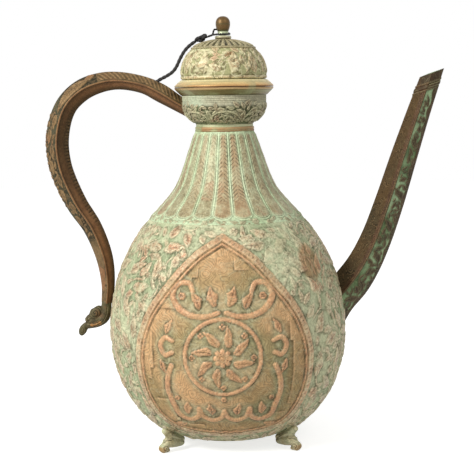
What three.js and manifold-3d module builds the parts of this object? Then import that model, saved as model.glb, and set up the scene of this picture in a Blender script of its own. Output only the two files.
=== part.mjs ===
// A tall brass pouring jug on four scroll feet: a round hollow body with a fluted neck, a loose domed lid held
// by a short cord, a hollow handle and a hollow spout, both of diamond section.
// Millimetres, +Z up. The spout points along +X, the handle along -X, and Z runs up the middle of the body.
import * as THREE from "three";
import { mergeVertices } from "three/addons/utils/BufferGeometryUtils.js";
import Module from "manifold-3d";

const wasm = await Module();
wasm.setup();

// Clearances
const seatGap = 0.3; // between two pieces that are soldered, riveted or laid on each other
const lidPlay = 0.6; // round the lid's sleeve in the mouth

// Body, from the table up. The belly is two raised bowls, brazed rim to rim at its widest place.
const undersideHeight = 7.9;
const baseRadius = 41.5;
const basePlateRadius = 42.6;
const basePlateThickness = 1.1;
const bellyRadius = 94.8;
const bellyWidestRise = 82.1; // from the underside to the widest place
const bellyRise = 171.1; // from the underside to the seam with the neck
const bellyWall = 1.8;
const seamRadius = 61.9;
const neckRise = 69;
const neckTopRadius = 23.4;
const neckWall = 1.6;
const fluteCount = 24;
const fluteDepth = 1.3;
const neckRingRise = 5.6;
const neckRingBulge = 0.9;
const neckRingWall = 2.2;
const throatRadius = 22.6; // outside the narrowest place, under the collar bowl
const collarRise = 22.2;
const collarRadius = 34.4;
const collarWall = 1.6;
const mouthRimRise = 6.2;
const mouthRimRadius = 40;
const mouthSleeveDepth = 5.6;
const mouthSleeveWall = 1.3;

// Lid
const lidRimRise = 5.8;
const domeFootRadius = 33.7;
const domeRise = 21.6;
const domeTopRadius = 26.4;
const domeWall = 1.4;
const capRimRadius = 27.8;
const capRimRise = 1.7;
const capRise = 9.6;
const capTopRadius = 6.6;
const capWall = 1.4;
const lidSleeveDepth = 10.4;
const lidSleeveWall = 1.4;
const finialBaseRadius = 6.7;
const finialBaseRise = 2.5;
const stemRadius = 4.4;
const stemRise = 3.0;
const knobRadius = 5.9;
const knobRise = 11.8;
const shankRadius = 2.2;
const washerRadius = 5.2;
const washerRise = 2.4;
const shankEnd = 0.8; // what the shank shows under the washer, peened over

// Handle
const handleReach = 134.2; // from the axis of the body to the middle of the grip
const handleCrestRise = 18.4; // from the root at the collar bowl to the top of the curve
const handleFootHeight = 111.6;
const handleWall = 1.5;
const ventRadius = 1.1;
const ventHeight = 150.4;
const scrollThickness = 9;

// Spout
const spoutTipReach = 175.3;
const spoutTipHeight = 295.4;
const spoutWall = 1.5;
const spoutRidgeShare = 0.44; // where the ridge lies between the inner and the outer edge
const spoutDepthShare = 0.94; // how deep the section is for its width
const spoutHoleRadius = 9.5;
const spoutBandRise = 6;
const spoutBandProud = 0.9;

// Feet
const footRingRadius = 69.4; // from the axis of the body to the middle of a pad
const footSpread = 47; // degrees from the front or the back
const footWidth = 9;
const footPadLength = 6.4;

// Cord
const cordDiameter = 2.8;
const strandDiameter = 1.5;
const knotHalfLength = 4.6;
const knotRadius = 2.8;
const stopperRadius = 2.7;

// How finely the round pieces are faceted
const bodySides = 2 * fluteCount;
const lidSides = 36;
const finialSides = 24;

// Heights of the seams
const bellyTop = undersideHeight + bellyRise;
const neckBottom = bellyTop + seatGap;
const neckTop = neckBottom + neckRise;
const neckRingBottom = neckTop + seatGap;
const neckRingTop = neckRingBottom + neckRingRise;
const collarBottom = neckRingTop + seatGap;
const collarTop = collarBottom + collarRise;
const mouthRimBottom = collarTop + seatGap;
const mouthRimTop = mouthRimBottom + mouthRimRise;
const lidRimBottom = mouthRimTop + seatGap;
const lidRimTop = lidRimBottom + lidRimRise;
const domeBottom = lidRimTop + seatGap;
const domeTop = domeBottom + domeRise;
const capBottom = domeTop + seatGap;
const capTop = capBottom + capRise;
const finialBaseBottom = capTop + seatGap;
const finialBaseTop = finialBaseBottom + finialBaseRise;
const stemTop = finialBaseTop + seatGap + stemRise;

// Radii that follow from the pieces round them
const mouthSleeveRadius = collarRadius - collarWall - seatGap;
const mouthRadius = mouthSleeveRadius - mouthSleeveWall;
const lidSleeveRadius = mouthRadius - lidPlay;
const shankHoleRadius = shankRadius + seatGap;

const point = (x, y) => new THREE.Vector2(x, y);
const place = (x, y, z) => new THREE.Vector3(x, y, z);
const mix = (a, b, t) => a + (b - a) * t;

// Points along a cubic curve in the plane of a profile, without its last point.
function bend(from, pull, push, to, steps) {
  const points = new THREE.CubicBezierCurve(from, pull, push, to).getPoints(steps);
  points.pop();
  return points;
}

// An open profile moved sideways: outwards for a distance above 0, inwards below 0.
function offset(profile, distance) {
  return profile.map((p, i) => {
    const before = profile[Math.max(i - 1, 0)];
    const after = profile[Math.min(i + 1, profile.length - 1)];
    const along = after.clone().sub(before).normalize();
    return point(p.x + along.y * distance, p.y - along.x * distance);
  });
}

// A solid of revolution about Z from a ring of [radius, height] points.
function turned(ring, sides) {
  const area = THREE.ShapeUtils.area(ring);
  const profile = area > 0 ? [...ring] : [...ring].reverse();
  profile.push(profile[0].clone());
  return new THREE.LatheGeometry(profile, sides).rotateX(Math.PI / 2);
}

// A bowl or tube of one wall thickness, from its outer profile.
function shell(outer, wall, sides) {
  const inner = offset(outer, -wall);
  inner[0].y = outer[0].y;
  inner[inner.length - 1].y = outer[outer.length - 1].y;
  return turned([...outer, ...inner.reverse()], sides);
}

// A full solid under an outer profile, grown by the seat gap, to cut what is soldered on outside.
function cutter(outer, sides) {
  const grown = offset(outer, seatGap);
  const low = grown[0].y;
  const high = grown[grown.length - 1].y;
  return turned([...grown, point(0, high), point(0, low)], sides);
}

function solid(geometry) {
  const bare = geometry.index ? geometry.toNonIndexed() : geometry.clone();
  bare.deleteAttribute("normal");
  bare.deleteAttribute("uv");
  const merged = mergeVertices(bare, 1e-4);
  return new wasm.Manifold(
    new wasm.Mesh({
      numProp: 3,
      vertProperties: merged.attributes.position.array,
      triVerts: new Uint32Array(merged.index.array),
    }),
  );
}

function geometryOf(manifold) {
  const mesh = manifold.getMesh();
  const geometry = new THREE.BufferGeometry();
  geometry.setAttribute("position", new THREE.BufferAttribute(mesh.vertProperties, 3));
  geometry.setIndex(new THREE.BufferAttribute(mesh.triVerts, 1));
  geometry.computeVertexNormals();
  return geometry;
}

function cut(geometry, ...tools) {
  return geometryOf(tools.reduce((rest, tool) => rest.subtract(solid(tool)), solid(geometry)));
}

// Whether a ring of points turns clockwise, seen along the way to the next ring.
function turnsClockwise(ring, next) {
  const across = ring[1].clone().sub(ring[0]).cross(ring[2].clone().sub(ring[1]));
  return across.dot(next[0].clone().sub(ring[0])) > 0;
}

// A closed solid through rings of equal length, with flat ends.
function loft(run) {
  const rings = turnsClockwise(run[0], run[1]) ? run : run.map((ring) => [...ring].reverse());
  const sides = rings[0].length;
  const positions = rings.flat().flatMap((p) => [p.x, p.y, p.z]);
  const faces = [];
  for (let i = 0; i + 1 < rings.length; i++) {
    for (let j = 0; j < sides; j++) {
      const a = i * sides + j;
      const b = i * sides + ((j + 1) % sides);
      faces.push(a, b, b + sides, a, b + sides, a + sides);
    }
  }
  const last = (rings.length - 1) * sides;
  for (let j = 1; j + 1 < sides; j++) {
    faces.push(0, j + 1, j);
    faces.push(last, last + j, last + j + 1);
  }
  const geometry = new THREE.BufferGeometry();
  geometry.setAttribute("position", new THREE.Float32BufferAttribute(positions, 3));
  geometry.setIndex(faces);
  return geometry;
}

// The four corners of a diamond section between an inner and an outer edge point, drawn in by a wall.
function diamond(inner, outer, depth, ridgeShare, wall) {
  const middle = inner.clone().lerp(outer, ridgeShare);
  const keep = 1 - (2 * Math.SQRT2 * wall) / Math.min(depth, inner.distanceTo(outer));
  const corners = [
    inner,
    middle.clone().add(place(0, -depth / 2, 0)),
    outer,
    middle.clone().add(place(0, depth / 2, 0)),
  ];
  return corners.map((corner) => middle.clone().lerp(corner, keep));
}

// A cylinder of a given radius between two points.
function rod(from, to, radius, sides) {
  const along = to.clone().sub(from);
  const turn = new THREE.Quaternion().setFromUnitVectors(place(0, 1, 0), along.clone().normalize());
  const middle = from.clone().lerp(to, 0.5);
  return new THREE.CylinderGeometry(radius, radius, along.length(), sides)
    .applyQuaternion(turn)
    .translate(middle.x, middle.y, middle.z);
}

// A round cord along points.
function cord(points, diameter, steps) {
  const sides = 8;
  const section = new THREE.Shape();
  for (let i = 0; i < sides; i++) {
    const turn = (i / sides) * 2 * Math.PI;
    const corner = point(Math.cos(turn), Math.sin(turn)).multiplyScalar(diameter / 2);
    if (i === 0) section.moveTo(corner.x, corner.y);
    else section.lineTo(corner.x, corner.y);
  }
  const path = new THREE.CatmullRomCurve3(points);
  return new THREE.ExtrudeGeometry(section, { steps, extrudePath: path });
}

// Profiles of the body, each from its lower edge up
const bellyBottomPoint = point(baseRadius, undersideHeight);
const bellyWidest = point(bellyRadius, undersideHeight + bellyWidestRise);
const seamPoint = point(seamRadius, bellyTop);
const bellyLowerProfile = [
  ...bend(
    bellyBottomPoint,
    point(baseRadius + 14, undersideHeight - 2.6),
    point(bellyRadius, bellyWidest.y - 57),
    bellyWidest,
    8,
  ),
  bellyWidest,
];
const bellyUpperStart = point(bellyRadius, bellyWidest.y + seatGap);
const bellyUpperProfile = [
  ...bend(
    bellyUpperStart,
    point(bellyRadius, bellyUpperStart.y + 22.8),
    point(seamRadius + 26.4, bellyTop - 30.1),
    seamPoint,
    6,
  ),
  seamPoint,
];
const bellyProfile = [...bellyLowerProfile, ...bellyUpperProfile];
const neckProfile = [
  ...bend(
    point(seamRadius - 0.25, neckBottom),
    point(seamRadius - 28.5, neckBottom + 30.4),
    point(neckTopRadius + 17.5, neckTop - 48),
    point(neckTopRadius, neckTop),
    7,
  ),
  point(neckTopRadius, neckTop),
];
const neckRingProfile = [
  point(neckTopRadius, neckRingBottom),
  point(neckTopRadius + neckRingBulge, neckRingBottom + neckRingRise * 0.22),
  point(neckTopRadius, neckRingBottom + neckRingRise * 0.45),
  point(neckTopRadius + neckRingBulge * 0.6, neckRingBottom + neckRingRise * 0.68),
  point(throatRadius, neckRingTop),
];
const collarProfile = [
  ...bend(
    point(throatRadius + 0.6, collarBottom),
    point(throatRadius + 6.6, collarBottom + 2.1),
    point(collarRadius, collarBottom + 7.6),
    point(collarRadius - 0.1, collarBottom + collarRise * 0.65),
    4,
  ),
  point(collarRadius - 0.1, collarBottom + collarRise * 0.65),
  point(collarRadius, collarTop),
];
const mouthRimFlare = [
  point(collarRadius + 0.3, mouthRimBottom),
  point(mouthRimRadius - 0.4, mouthRimTop - 1.5),
  point(mouthRimRadius, mouthRimTop),
];

// How far the neck's grooves are sunk at a height: nothing at the top, most at the middle of the flutes.
function grooveDepth(height) {
  const t = THREE.MathUtils.clamp((height - neckBottom) / neckRise, 0, 1);
  return fluteDepth * Math.sin(Math.PI * Math.min(1, 0.25 + 0.75 * t));
}

function flutedNeck() {
  const geometry = shell(neckProfile, neckWall, bodySides);
  const position = geometry.attributes.position;
  const halfFlute = Math.PI / fluteCount;
  for (let i = 0; i < position.count; i++) {
    const x = position.getX(i);
    const y = position.getY(i);
    const column = Math.round(Math.atan2(x, -y) / halfFlute);
    if (column % 2 !== 0) {
      const radius = Math.hypot(x, y);
      const sunk = (radius - grooveDepth(position.getZ(i))) / radius;
      position.setXY(i, x * sunk, y * sunk);
    }
  }
  return geometry;
}

// A tube of changing section as a full outer solid and its bore, which runs on past both ends.
function hollowLoft(section, steps, wall) {
  const overrun = 1;
  const outer = [];
  const bore = [];
  for (let i = 0; i <= steps; i++) {
    outer.push(section(i / steps, 0));
    bore.push(section(i / steps, wall));
  }
  const past = (ring, before) => ring.map((p, j) => p.clone().add(p.clone().sub(before[j]).setLength(overrun)));
  const first = past(bore[0], bore[1]);
  const last = past(bore.at(-1), bore.at(-2));
  return { outer: loft(outer), bore: loft([first, ...bore, last]) };
}

// The hollow handle. Each station has its middle and the width of its diamond section.
const rootHeight = collarTop - 5.4; // where the handle meets the collar bowl
const crestHeight = rootHeight + handleCrestRise;
const handleStations = [
  { at: place(-(collarRadius - 12), 0, rootHeight - 8.6), width: 11.6 },
  { at: place(-(collarRadius + 2.6), 0, rootHeight - 0.2), width: 12.6 },
  { at: place(-(collarRadius + 15.8), 0, rootHeight + 8.0), width: 14.6 },
  { at: place(-(collarRadius + 28.6), 0, rootHeight + 14.4), width: 13.6 },
  { at: place(-(handleReach - 51), 0, crestHeight), width: 14.0 },
  { at: place(-(handleReach - 35), 0, crestHeight - 1.5), width: 15.8 },
  { at: place(-(handleReach - 19.5), 0, crestHeight - 7.8), width: 17.2 },
  { at: place(-(handleReach - 7), 0, crestHeight - 20.5), width: 17.4 },
  { at: place(-handleReach, 0, crestHeight - 43), width: 18.4 },
  { at: place(-(handleReach - 1.5), 0, crestHeight - 67), width: 18.3 },
  { at: place(-(handleReach - 13.3), 0, crestHeight - 96.4), width: 17.2 },
  { at: place(-(bellyRadius + 13.4), 0, handleFootHeight + 61), width: 15.4 },
  { at: place(-(bellyRadius + 4.6), 0, handleFootHeight + 36.6), width: 13.6 },
  { at: place(-(bellyRadius + 2.2), 0, handleFootHeight + 15), width: 10.8 },
  { at: place(-(bellyRadius + 3.4), 0, handleFootHeight), width: 8.8 },
];
const handleSteps = 28;
const handlePath = new THREE.CatmullRomCurve3(handleStations.map((station) => station.at));

function handleSection(t, wall) {
  const span = t * (handleStations.length - 1);
  const index = Math.min(Math.floor(span), handleStations.length - 2);
  const width = mix(handleStations[index].width, handleStations[index + 1].width, span - index);
  const middle = handlePath.getPoint(t);
  const along = handlePath.getTangent(t);
  const across = place(along.z, 0, -along.x).multiplyScalar(width / 2);
  return diamond(middle.clone().sub(across), middle.clone().add(across), width, 0.5, wall);
}

const handleTube = hollowLoft(handleSection, handleSteps, handleWall);
const bodyCutter = cutter(bellyProfile, bodySides);
const collarCutter = cutter(collarProfile, bodySides);
const rimCutter = cutter(mouthRimFlare, lidSides);

// Route of the cord: from the knot down the lid's side, across to the handle and in through its top ridge
const cordRoute = [
  [21.2, 319.9],
  [23.1, 318.9],
  [24.9, 317.7],
  [27.1, 316.0],
  [29.0, 314.2],
  [30.7, 312.2],
  [32.2, 310.0],
  [33.6, 307.6],
  [34.9, 305.1],
  [36.1, 302.5],
  [37.4, 300.0],
  [39.1, 297.5],
  [41.2, 295.4],
  [43.7, 293.7],
  [46.4, 292.2],
  [49.2, 290.8],
  [51.8, 289.4],
  [54.1, 287.8],
  [56.3, 285.8],
].map(([out, height]) => place(-out, 0, height));
const knotMiddle = place(-16.8, 0, 322.4);
const knotTilt = 0.52; // radians below level, down to the left
const loopRoute = [
  [-12.3, 1.25, 324.6],
  [-10.2, 2.1, 325.3],
  [-8.0, 3.1, 325.9],
  [-5.9, 4.2, 326.2],
  [-3.8, 5.2, 326.4],
  [-1.3, 6.0, 326.5],
  [1.2, 6.1, 326.5],
  [3.6, 5.1, 326.5],
  [5.4, 3.3, 326.5],
  [6.2, 1.0, 326.5],
  [6.1, -1.4, 326.5],
  [5.0, -3.7, 326.5],
  [3.2, -5.3, 326.5],
  [0.8, -6.1, 326.6],
  [-1.6, -6.0, 326.7],
  [-4.0, -5.0, 326.7],
  [-6.2, -3.8, 326.5],
  [-8.3, -2.6, 326.0],
  [-10.3, -1.7, 325.3],
  [-12.3, -1.25, 324.6],
].map(([x, y, z]) => place(x, y, z));
const cordEnd = cordRoute.at(-1);
const cordInward = cordEnd.clone().sub(cordRoute.at(-2)).normalize();
const cordHoleRun = 9; // from outside the handle to the cord's end in its bore
const cordHole = rod(
  cordEnd.clone().addScaledVector(cordInward, -cordHoleRun),
  cordEnd.clone().addScaledVector(cordInward, seatGap),
  cordDiameter / 2 + seatGap,
  12,
);
const stopperMiddle = cordEnd.clone().addScaledVector(cordInward, stopperRadius + seatGap);

// The vent is drilled square into the handle's inner front face, from the middle of the bore.
const ventStandoff = 5.9; // how far that middle is outside the body's widest place
const ventDepth = 9;
const ventMiddle = place(-(bellyRadius + ventStandoff), 0, ventHeight);
const ventTool = rod(ventMiddle, ventMiddle.clone().add(place(ventDepth, -ventDepth, 0)), ventRadius, 10);

function handleGeometry() {
  return cut(handleTube.outer, handleTube.bore, collarCutter, rimCutter, ventTool, cordHole);
}

// The cast scroll that ends the handle: a belly with a round whorl, a small lobe and a drop, seen from the front.
function scrollGeometry() {
  const x = bellyRadius;
  const top = handleFootHeight - seatGap;
  const outline = new THREE.Shape();
  outline.moveTo(-(x - 3), top);
  outline.lineTo(-(x - 3), top - 9.5);
  outline.quadraticCurveTo(-(x + 4), top - 17, -(x + 12), top - 19.5);
  outline.lineTo(-(x + 18.6), top - 20.8);
  outline.lineTo(-(x + 21.2), top - 25.6);
  outline.quadraticCurveTo(-(x + 25), top - 28.4, -(x + 26.4), top - 23.2);
  outline.lineTo(-(x + 22.6), top - 16.6);
  outline.lineTo(-(x + 20.4), top - 16.2);
  outline.quadraticCurveTo(-(x + 22.2), top - 10, -(x + 17.6), top - 9.4);
  outline.lineTo(-(x + 16.6), top - 9.2);
  outline.bezierCurveTo(-(x + 17.6), top - 3, -(x + 12.4), top + 2, -(x + 8.8), top - 2.4);
  outline.lineTo(-(x + 8.2), top);
  const block = new THREE.ExtrudeGeometry(outline, {
    depth: scrollThickness,
    bevelEnabled: false,
    curveSegments: 5,
  })
    .rotateX(Math.PI / 2)
    .translate(0, scrollThickness / 2, 0);
  return cut(block, bodyCutter);
}

// The hollow spout, by pairs of points on its inner and its outer edge, from the tip to inside the body.
const spoutEdges = [
  [place(spoutTipReach - 19.4, 0, spoutTipHeight - 6.8), place(spoutTipReach, 0, spoutTipHeight)],
  [place(spoutTipReach - 26.6, 0, spoutTipHeight - 24.9), place(spoutTipReach - 9.9, 0, spoutTipHeight - 30.8)],
  [place(spoutTipReach - 41, 0, spoutTipHeight - 62.8), place(spoutTipReach - 21.4, 0, spoutTipHeight - 69.5)],
  [place(bellyRadius + 25.8, 0, 194.3), place(bellyRadius + 47.6, 0, 186.6)],
  [place(bellyRadius + 14.4, 0, 165.4), place(bellyRadius + 36.9, 0, 155.1)],
  [place(bellyRadius + 3.8, 0, 146.1), place(bellyRadius + 27.1, 0, 132.6)],
  [place(bellyRadius - 7.6, 0, 131.7), place(bellyRadius + 17.4, 0, 116.5)],
  [place(bellyRadius - 17, 0, 121), place(bellyRadius + 5.2, 0, 102)],
  [place(bellyRadius - 27, 0, 110), place(bellyRadius - 4, 0, 86)],
];
const spoutInner = new THREE.CatmullRomCurve3(spoutEdges.map((pair) => pair[0]));
const spoutOuter = new THREE.CatmullRomCurve3(spoutEdges.map((pair) => pair[1]));
const spoutSteps = 20;
const tipSlant = 0.78; // how much wider the slanting mouth is than the tube

function spoutSection(t, wall) {
  const inner = spoutInner.getPoint(t);
  const outer = spoutOuter.getPoint(t);
  const slant = mix(tipSlant, 1, Math.min(1, t * (spoutEdges.length - 1)));
  return diamond(inner, outer, inner.distanceTo(outer) * slant * spoutDepthShare, spoutRidgeShare, wall);
}

const spoutTube = hollowLoft(spoutSection, spoutSteps, spoutWall);

// The hole in the body's wall that the spout pours from, drilled along the middle of its root
const spoutMiddle = (t) => spoutInner.getPoint(t).lerp(spoutOuter.getPoint(t), 0.5);
const spoutRoot = spoutMiddle(0.86);
const spoutRootAlong = spoutMiddle(0.7).sub(spoutRoot).normalize();
const spoutHoleInward = 16;
const spoutHoleOutward = 22;
const spoutHole = rod(
  spoutRoot.clone().addScaledVector(spoutRootAlong, -spoutHoleInward),
  spoutRoot.clone().addScaledVector(spoutRootAlong, spoutHoleOutward),
  spoutHoleRadius,
  20,
);

function spoutGeometry() {
  return cut(spoutTube.outer, spoutTube.bore, bodyCutter);
}

// The raised band soldered round the spout below its plain tip
const spoutTipRun = (spoutEdges.length - 1) * spoutEdges[0][0].distanceTo(spoutEdges[1][0]);
const spoutBandDrop = 8.6; // from the tip's inner edge to the band

function spoutBandGeometry() {
  const from = spoutBandDrop / spoutTipRun;
  const to = (spoutBandDrop + spoutBandRise) / spoutTipRun;
  const ring = (t, grow) => spoutSection(t, -grow / Math.SQRT2);
  const band = loft([ring(from, seatGap + spoutBandProud), ring(to, seatGap + spoutBandProud)]);
  const hole = [];
  for (let i = -1; i <= 4; i++) hole.push(ring(mix(from, to, i / 3), seatGap));
  return cut(band, loft(hole));
}

// A cast foot: a leaf under the body, a leg, a toe that turns out with a flat pad, and a lobe that curls in.
function footGeometry() {
  const pad = footRingRadius;
  const half = footPadLength / 2;
  const outline = new THREE.Shape();
  outline.moveTo(pad - half, 0);
  outline.lineTo(pad + half, 0);
  outline.quadraticCurveTo(pad + half + 2.2, 1.2, pad + half + 1.8, 4.4);
  outline.quadraticCurveTo(pad + half + 0.8, 7.6, pad + 0.4, 7.8);
  outline.quadraticCurveTo(pad - 3.2, 9.8, pad - 2.4, 13);
  outline.lineTo(pad + 0.6, 19.4);
  outline.lineTo(pad - 12, 19.4);
  outline.lineTo(pad - 19.5, 10.8);
  outline.quadraticCurveTo(pad - 20.2, 5.2, pad - 15.6, 4.6);
  outline.quadraticCurveTo(pad - 12.4, 4.4, pad - 10.6, 5.6);
  return new THREE.ExtrudeGeometry(outline, { depth: footWidth, bevelEnabled: false, curveSegments: 4 })
    .rotateX(Math.PI / 2)
    .translate(0, footWidth / 2, 0);
}

// The ornament raised on the body is drawn in units that follow its size: across from the middle of a panel and
// along the wall from its lower edge.
const drawingRadius = 94.8;
const unit = bellyRadius / drawingRadius;
const reliefRise = 1.1; // how far it stands proud
const reliefSink = 0.9; // how far it reaches into the wall
const reliefSlope = 0.8; // how far in its sides lean
const panelLean = -2.7 / 360; // where the middle of the front panel is, as a share of a turn
const panelEdge = [
  [0, 23],
  [14, 24.4],
  [28, 28.2],
  [37.5, 34.5],
  [42.5, 44],
  [45.2, 57],
  [46.4, 72],
  [46.4, 88],
  [45.4, 103],
  [42.9, 118],
  [39.6, 131],
  [35.2, 143],
  [30.2, 154],
  [24.6, 166],
  [15.6, 181],
  [0, 197],
]; // its right edge, as [degrees from its middle, distance along]
const borderWidth = 5.6;
const ringAlong = 99.9;
const ringRadius = 29.2;
const scrollWidth = 4.8;
const scrolls = [
  [[3, 134], [13, 131], [25, 132], [36, 138], [41, 147], [37, 155], [28, 156], [24, 150]],
  [[39, 112], [46, 114], [50, 108], [46, 101], [40, 103]],
  [[41, 93], [45, 84], [47, 72], [45, 60], [42, 49], [33, 45], [24, 49], [22, 57]],
  [[22, 57], [19, 48.5], [11, 45], [3, 48], [0, 55]],
]; // each for the right half of a panel, mirrored on its left
const leafStart = 45; // how far along the lowest leaves of the field are
const panelClearance = 9; // from a panel's edge to the middle of the nearest leaf
const limbClearance = 0.045; // the share of a turn that stays plain on each side of the handle and the spout

// The place at a distance along the body's wall, and the direction out of the wall there.
function onWall(turn, along) {
  let left = along * unit;
  let i = 0;
  while (i + 2 < bellyProfile.length && left > bellyProfile[i].distanceTo(bellyProfile[i + 1])) {
    left -= bellyProfile[i].distanceTo(bellyProfile[i + 1]);
    i += 1;
  }
  const way = bellyProfile[i + 1].clone().sub(bellyProfile[i]).normalize();
  const at = bellyProfile[i].clone().addScaledVector(way, left);
  const x = Math.sin(2 * Math.PI * turn);
  const y = -Math.cos(2 * Math.PI * turn);
  return { at: place(at.x * x, at.x * y, at.y), out: place(way.y * x, way.y * y, -way.x) };
}

// A raised rib over [turn, along] points, with a flat or a sharp crown.
function rib(points, width, flat) {
  const spots = points.map(([turn, along]) => onWall(turn, along));
  const half = (width * unit) / 2;
  const rings = spots.map(({ at, out }, i) => {
    const before = spots[Math.max(i - 1, 0)].at;
    const after = spots[Math.min(i + 1, spots.length - 1)].at;
    const side = after.clone().sub(before).cross(out).normalize();
    const corner = (aside, rise) => at.clone().addScaledVector(side, aside).addScaledVector(out, rise);
    const crown = flat ? [reliefSlope - half, half - reliefSlope] : [0];
    const top = crown.map((aside) => corner(aside, reliefRise));
    return [corner(-half, -reliefSink), ...top, corner(half, -reliefSink)];
  });
  return solid(loft(rings));
}

// Points at even steps on a smooth line through drawn ones.
function smoothed(points, steps) {
  const curve = new THREE.CatmullRomCurve3(points.map(([across, along]) => place(across, along, 0)));
  return curve.getSpacedPoints(steps).map((p) => [p.x, p.y]);
}

// A drawn line moved towards a panel's middle, for a line on its right that runs up.
function inset(line, distance) {
  return line.map(([across, along], i) => {
    const before = line[Math.max(i - 1, 0)];
    const after = line[Math.min(i + 1, line.length - 1)];
    const way = point(after[0] - before[0], after[1] - before[1]).normalize();
    return [Math.max(across - way.y * distance, 0), along + way.x * distance];
  });
}

// The ribs of one panel: its border, its ring and its scrolls, alike on both halves.
function panelRibs(middle) {
  const edge = panelEdge.map(([degrees, along]) => [THREE.MathUtils.degToRad(degrees) * drawingRadius, along]);
  const border = inset(smoothed(edge, 15), borderWidth / 2);
  const ring = [];
  for (let i = 0; i <= 9; i++) {
    const turn = -Math.PI / 2 - 0.06 + (i / 9) * (Math.PI + 0.12);
    ring.push([Math.cos(turn) * ringRadius, ringAlong + Math.sin(turn) * ringRadius]);
  }
  const sharp = [ring, ...scrolls.map((scroll) => smoothed(scroll, scroll.length - 1))];
  return [1, -1].flatMap((side) => {
    const toWall = ([across, along]) => [middle + (side * across) / (2 * Math.PI * drawingRadius), along];
    const scrollRibs = sharp.map((line) => rib(line.map(toWall), scrollWidth, false));
    return [rib(border.map(toWall), borderWidth, true), ...scrollRibs];
  });
}

// How far a panel's edge is from its middle, at a distance along the wall.
function panelHalf(along) {
  const i = panelEdge.findIndex((edge) => edge[1] >= along);
  if (i < 1) return -Infinity;
  const [[lowDegrees, low], [highDegrees, high]] = [panelEdge[i - 1], panelEdge[i]];
  return THREE.MathUtils.degToRad(mix(lowDegrees, highDegrees, (along - low) / (high - low))) * drawingRadius;
}

// Whether a corner of the body's facets is the middle of a raised leaf in the field between the panels.
function isLeaf(row, column, along) {
  const turn = column / bodySides;
  const fromPanel = Math.min(...[-0.5, 0, 0.5].map((middle) => Math.abs(turn - panelLean - middle)));
  const inPanel = fromPanel * 2 * Math.PI * drawingRadius < panelHalf(along) + panelClearance;
  return (row + column) % 2 === 0 && !inPanel && Math.abs(Math.abs(turn) - 0.25) > limbClearance;
}

// A bowl of the body, with the field's main leaves as pushed out corners of its facets.
function embossed(profile, start) {
  const geometry = shell(profile, bellyWall, bodySides);
  const position = geometry.attributes.position;
  for (let i = 0; i < position.count; i++) {
    const [x, y, z] = position.array.slice(3 * i, 3 * i + 3);
    const row = profile.findIndex((p) => Math.abs(p.y - z) < 1e-3 && Math.abs(p.x - Math.hypot(x, y)) < 1e-3);
    const along = (start + runTo(profile, row)) / unit;
    const column = Math.round((Math.atan2(x, -y) / (2 * Math.PI)) * bodySides);
    if (row < 1 || row > profile.length - 2 || along < leafStart || !isLeaf(row, column, along)) continue;
    const out = 1 + reliefRise / profile[row].x;
    position.setXY(i, x * out, y * out);
  }
  return solid(geometry);
}

// The distance along a profile to one of its points.
function runTo(profile, last) {
  let run = 0;
  for (let i = 1; i <= last; i++) run += profile[i].distanceTo(profile[i - 1]);
  return run;
}

const relief = wasm.Manifold.union([...panelRibs(panelLean), ...panelRibs(panelLean + 0.5)]);

// Colours and finishes
const finish = (color, roughness, metalness) => new THREE.MeshStandardMaterial({ color, roughness, metalness });
const patina = () => finish(0x9a9a80, 0.7, 0.45);
const paleBrass = () => finish(0xc9b98c, 0.45, 0.7);
const darkBrass = () => finish(0x5b4636, 0.5, 0.6);
const knobBrass = () => finish(0x8a6a42, 0.3, 0.8);
const blackCord = () => finish(0x161414, 0.9, 0);

const jug = new THREE.Group();
const lid = new THREE.Group();
jug.add(lid);

function add(name, geometry, material, parent = jug) {
  const mesh = new THREE.Mesh(geometry, material);
  mesh.name = name;
  parent.add(mesh);
  return mesh;
}

// Body
const lowerBowl = embossed(bellyLowerProfile, 0).add(relief.trimByPlane([0, 0, -1], -bellyWidest.y));
const upperBowl = embossed(bellyUpperProfile, runTo(bellyLowerProfile, bellyLowerProfile.length - 1)).add(
  relief.trimByPlane([0, 0, 1], bellyUpperStart.y),
);
add("belly_lower", geometryOf(lowerBowl.subtract(solid(spoutHole))), patina());
add("belly_upper", geometryOf(upperBowl.subtract(solid(spoutHole))), patina());
const plateTop = undersideHeight - seatGap;
const plateBottom = plateTop - basePlateThickness;
add(
  "base_plate",
  turned(
    [
      point(0, plateBottom),
      point(basePlateRadius - 0.5, plateBottom),
      point(basePlateRadius, plateTop),
      point(0, plateTop),
    ],
    bodySides,
  ),
  patina(),
);
add("neck_shell", flutedNeck(), patina());
add(
  "neck_ring",
  turned(
    [
      ...neckRingProfile,
      point(throatRadius - neckRingWall, neckRingTop),
      point(throatRadius - neckRingWall, neckRingBottom),
    ],
    bodySides,
  ),
  paleBrass(),
);
add("collar_bowl", shell(collarProfile, collarWall, bodySides), patina());
add(
  "mouth_rim",
  turned(
    [
      point(mouthRadius, mouthRimBottom - mouthSleeveDepth),
      point(mouthSleeveRadius, mouthRimBottom - mouthSleeveDepth),
      point(mouthSleeveRadius, mouthRimBottom),
      ...mouthRimFlare,
      point(mouthRadius, mouthRimTop),
    ],
    lidSides,
  ),
  paleBrass(),
);

// Handle and spout
add("handle", handleGeometry(), darkBrass());
add("handle_scroll", scrollGeometry(), darkBrass());
add("spout", spoutGeometry(), darkBrass());
add("spout_band", spoutBandGeometry(), darkBrass());

// Feet
const feet = [
  ["foot_front_left", -90 - footSpread],
  ["foot_front_right", -90 + footSpread],
  ["foot_back_right", 90 - footSpread],
  ["foot_back_left", 90 + footSpread],
];
for (const [name, degrees] of feet) {
  const turn = THREE.MathUtils.degToRad(degrees);
  add(name, cut(footGeometry().rotateZ(turn), bodyCutter), darkBrass());
}

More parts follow.
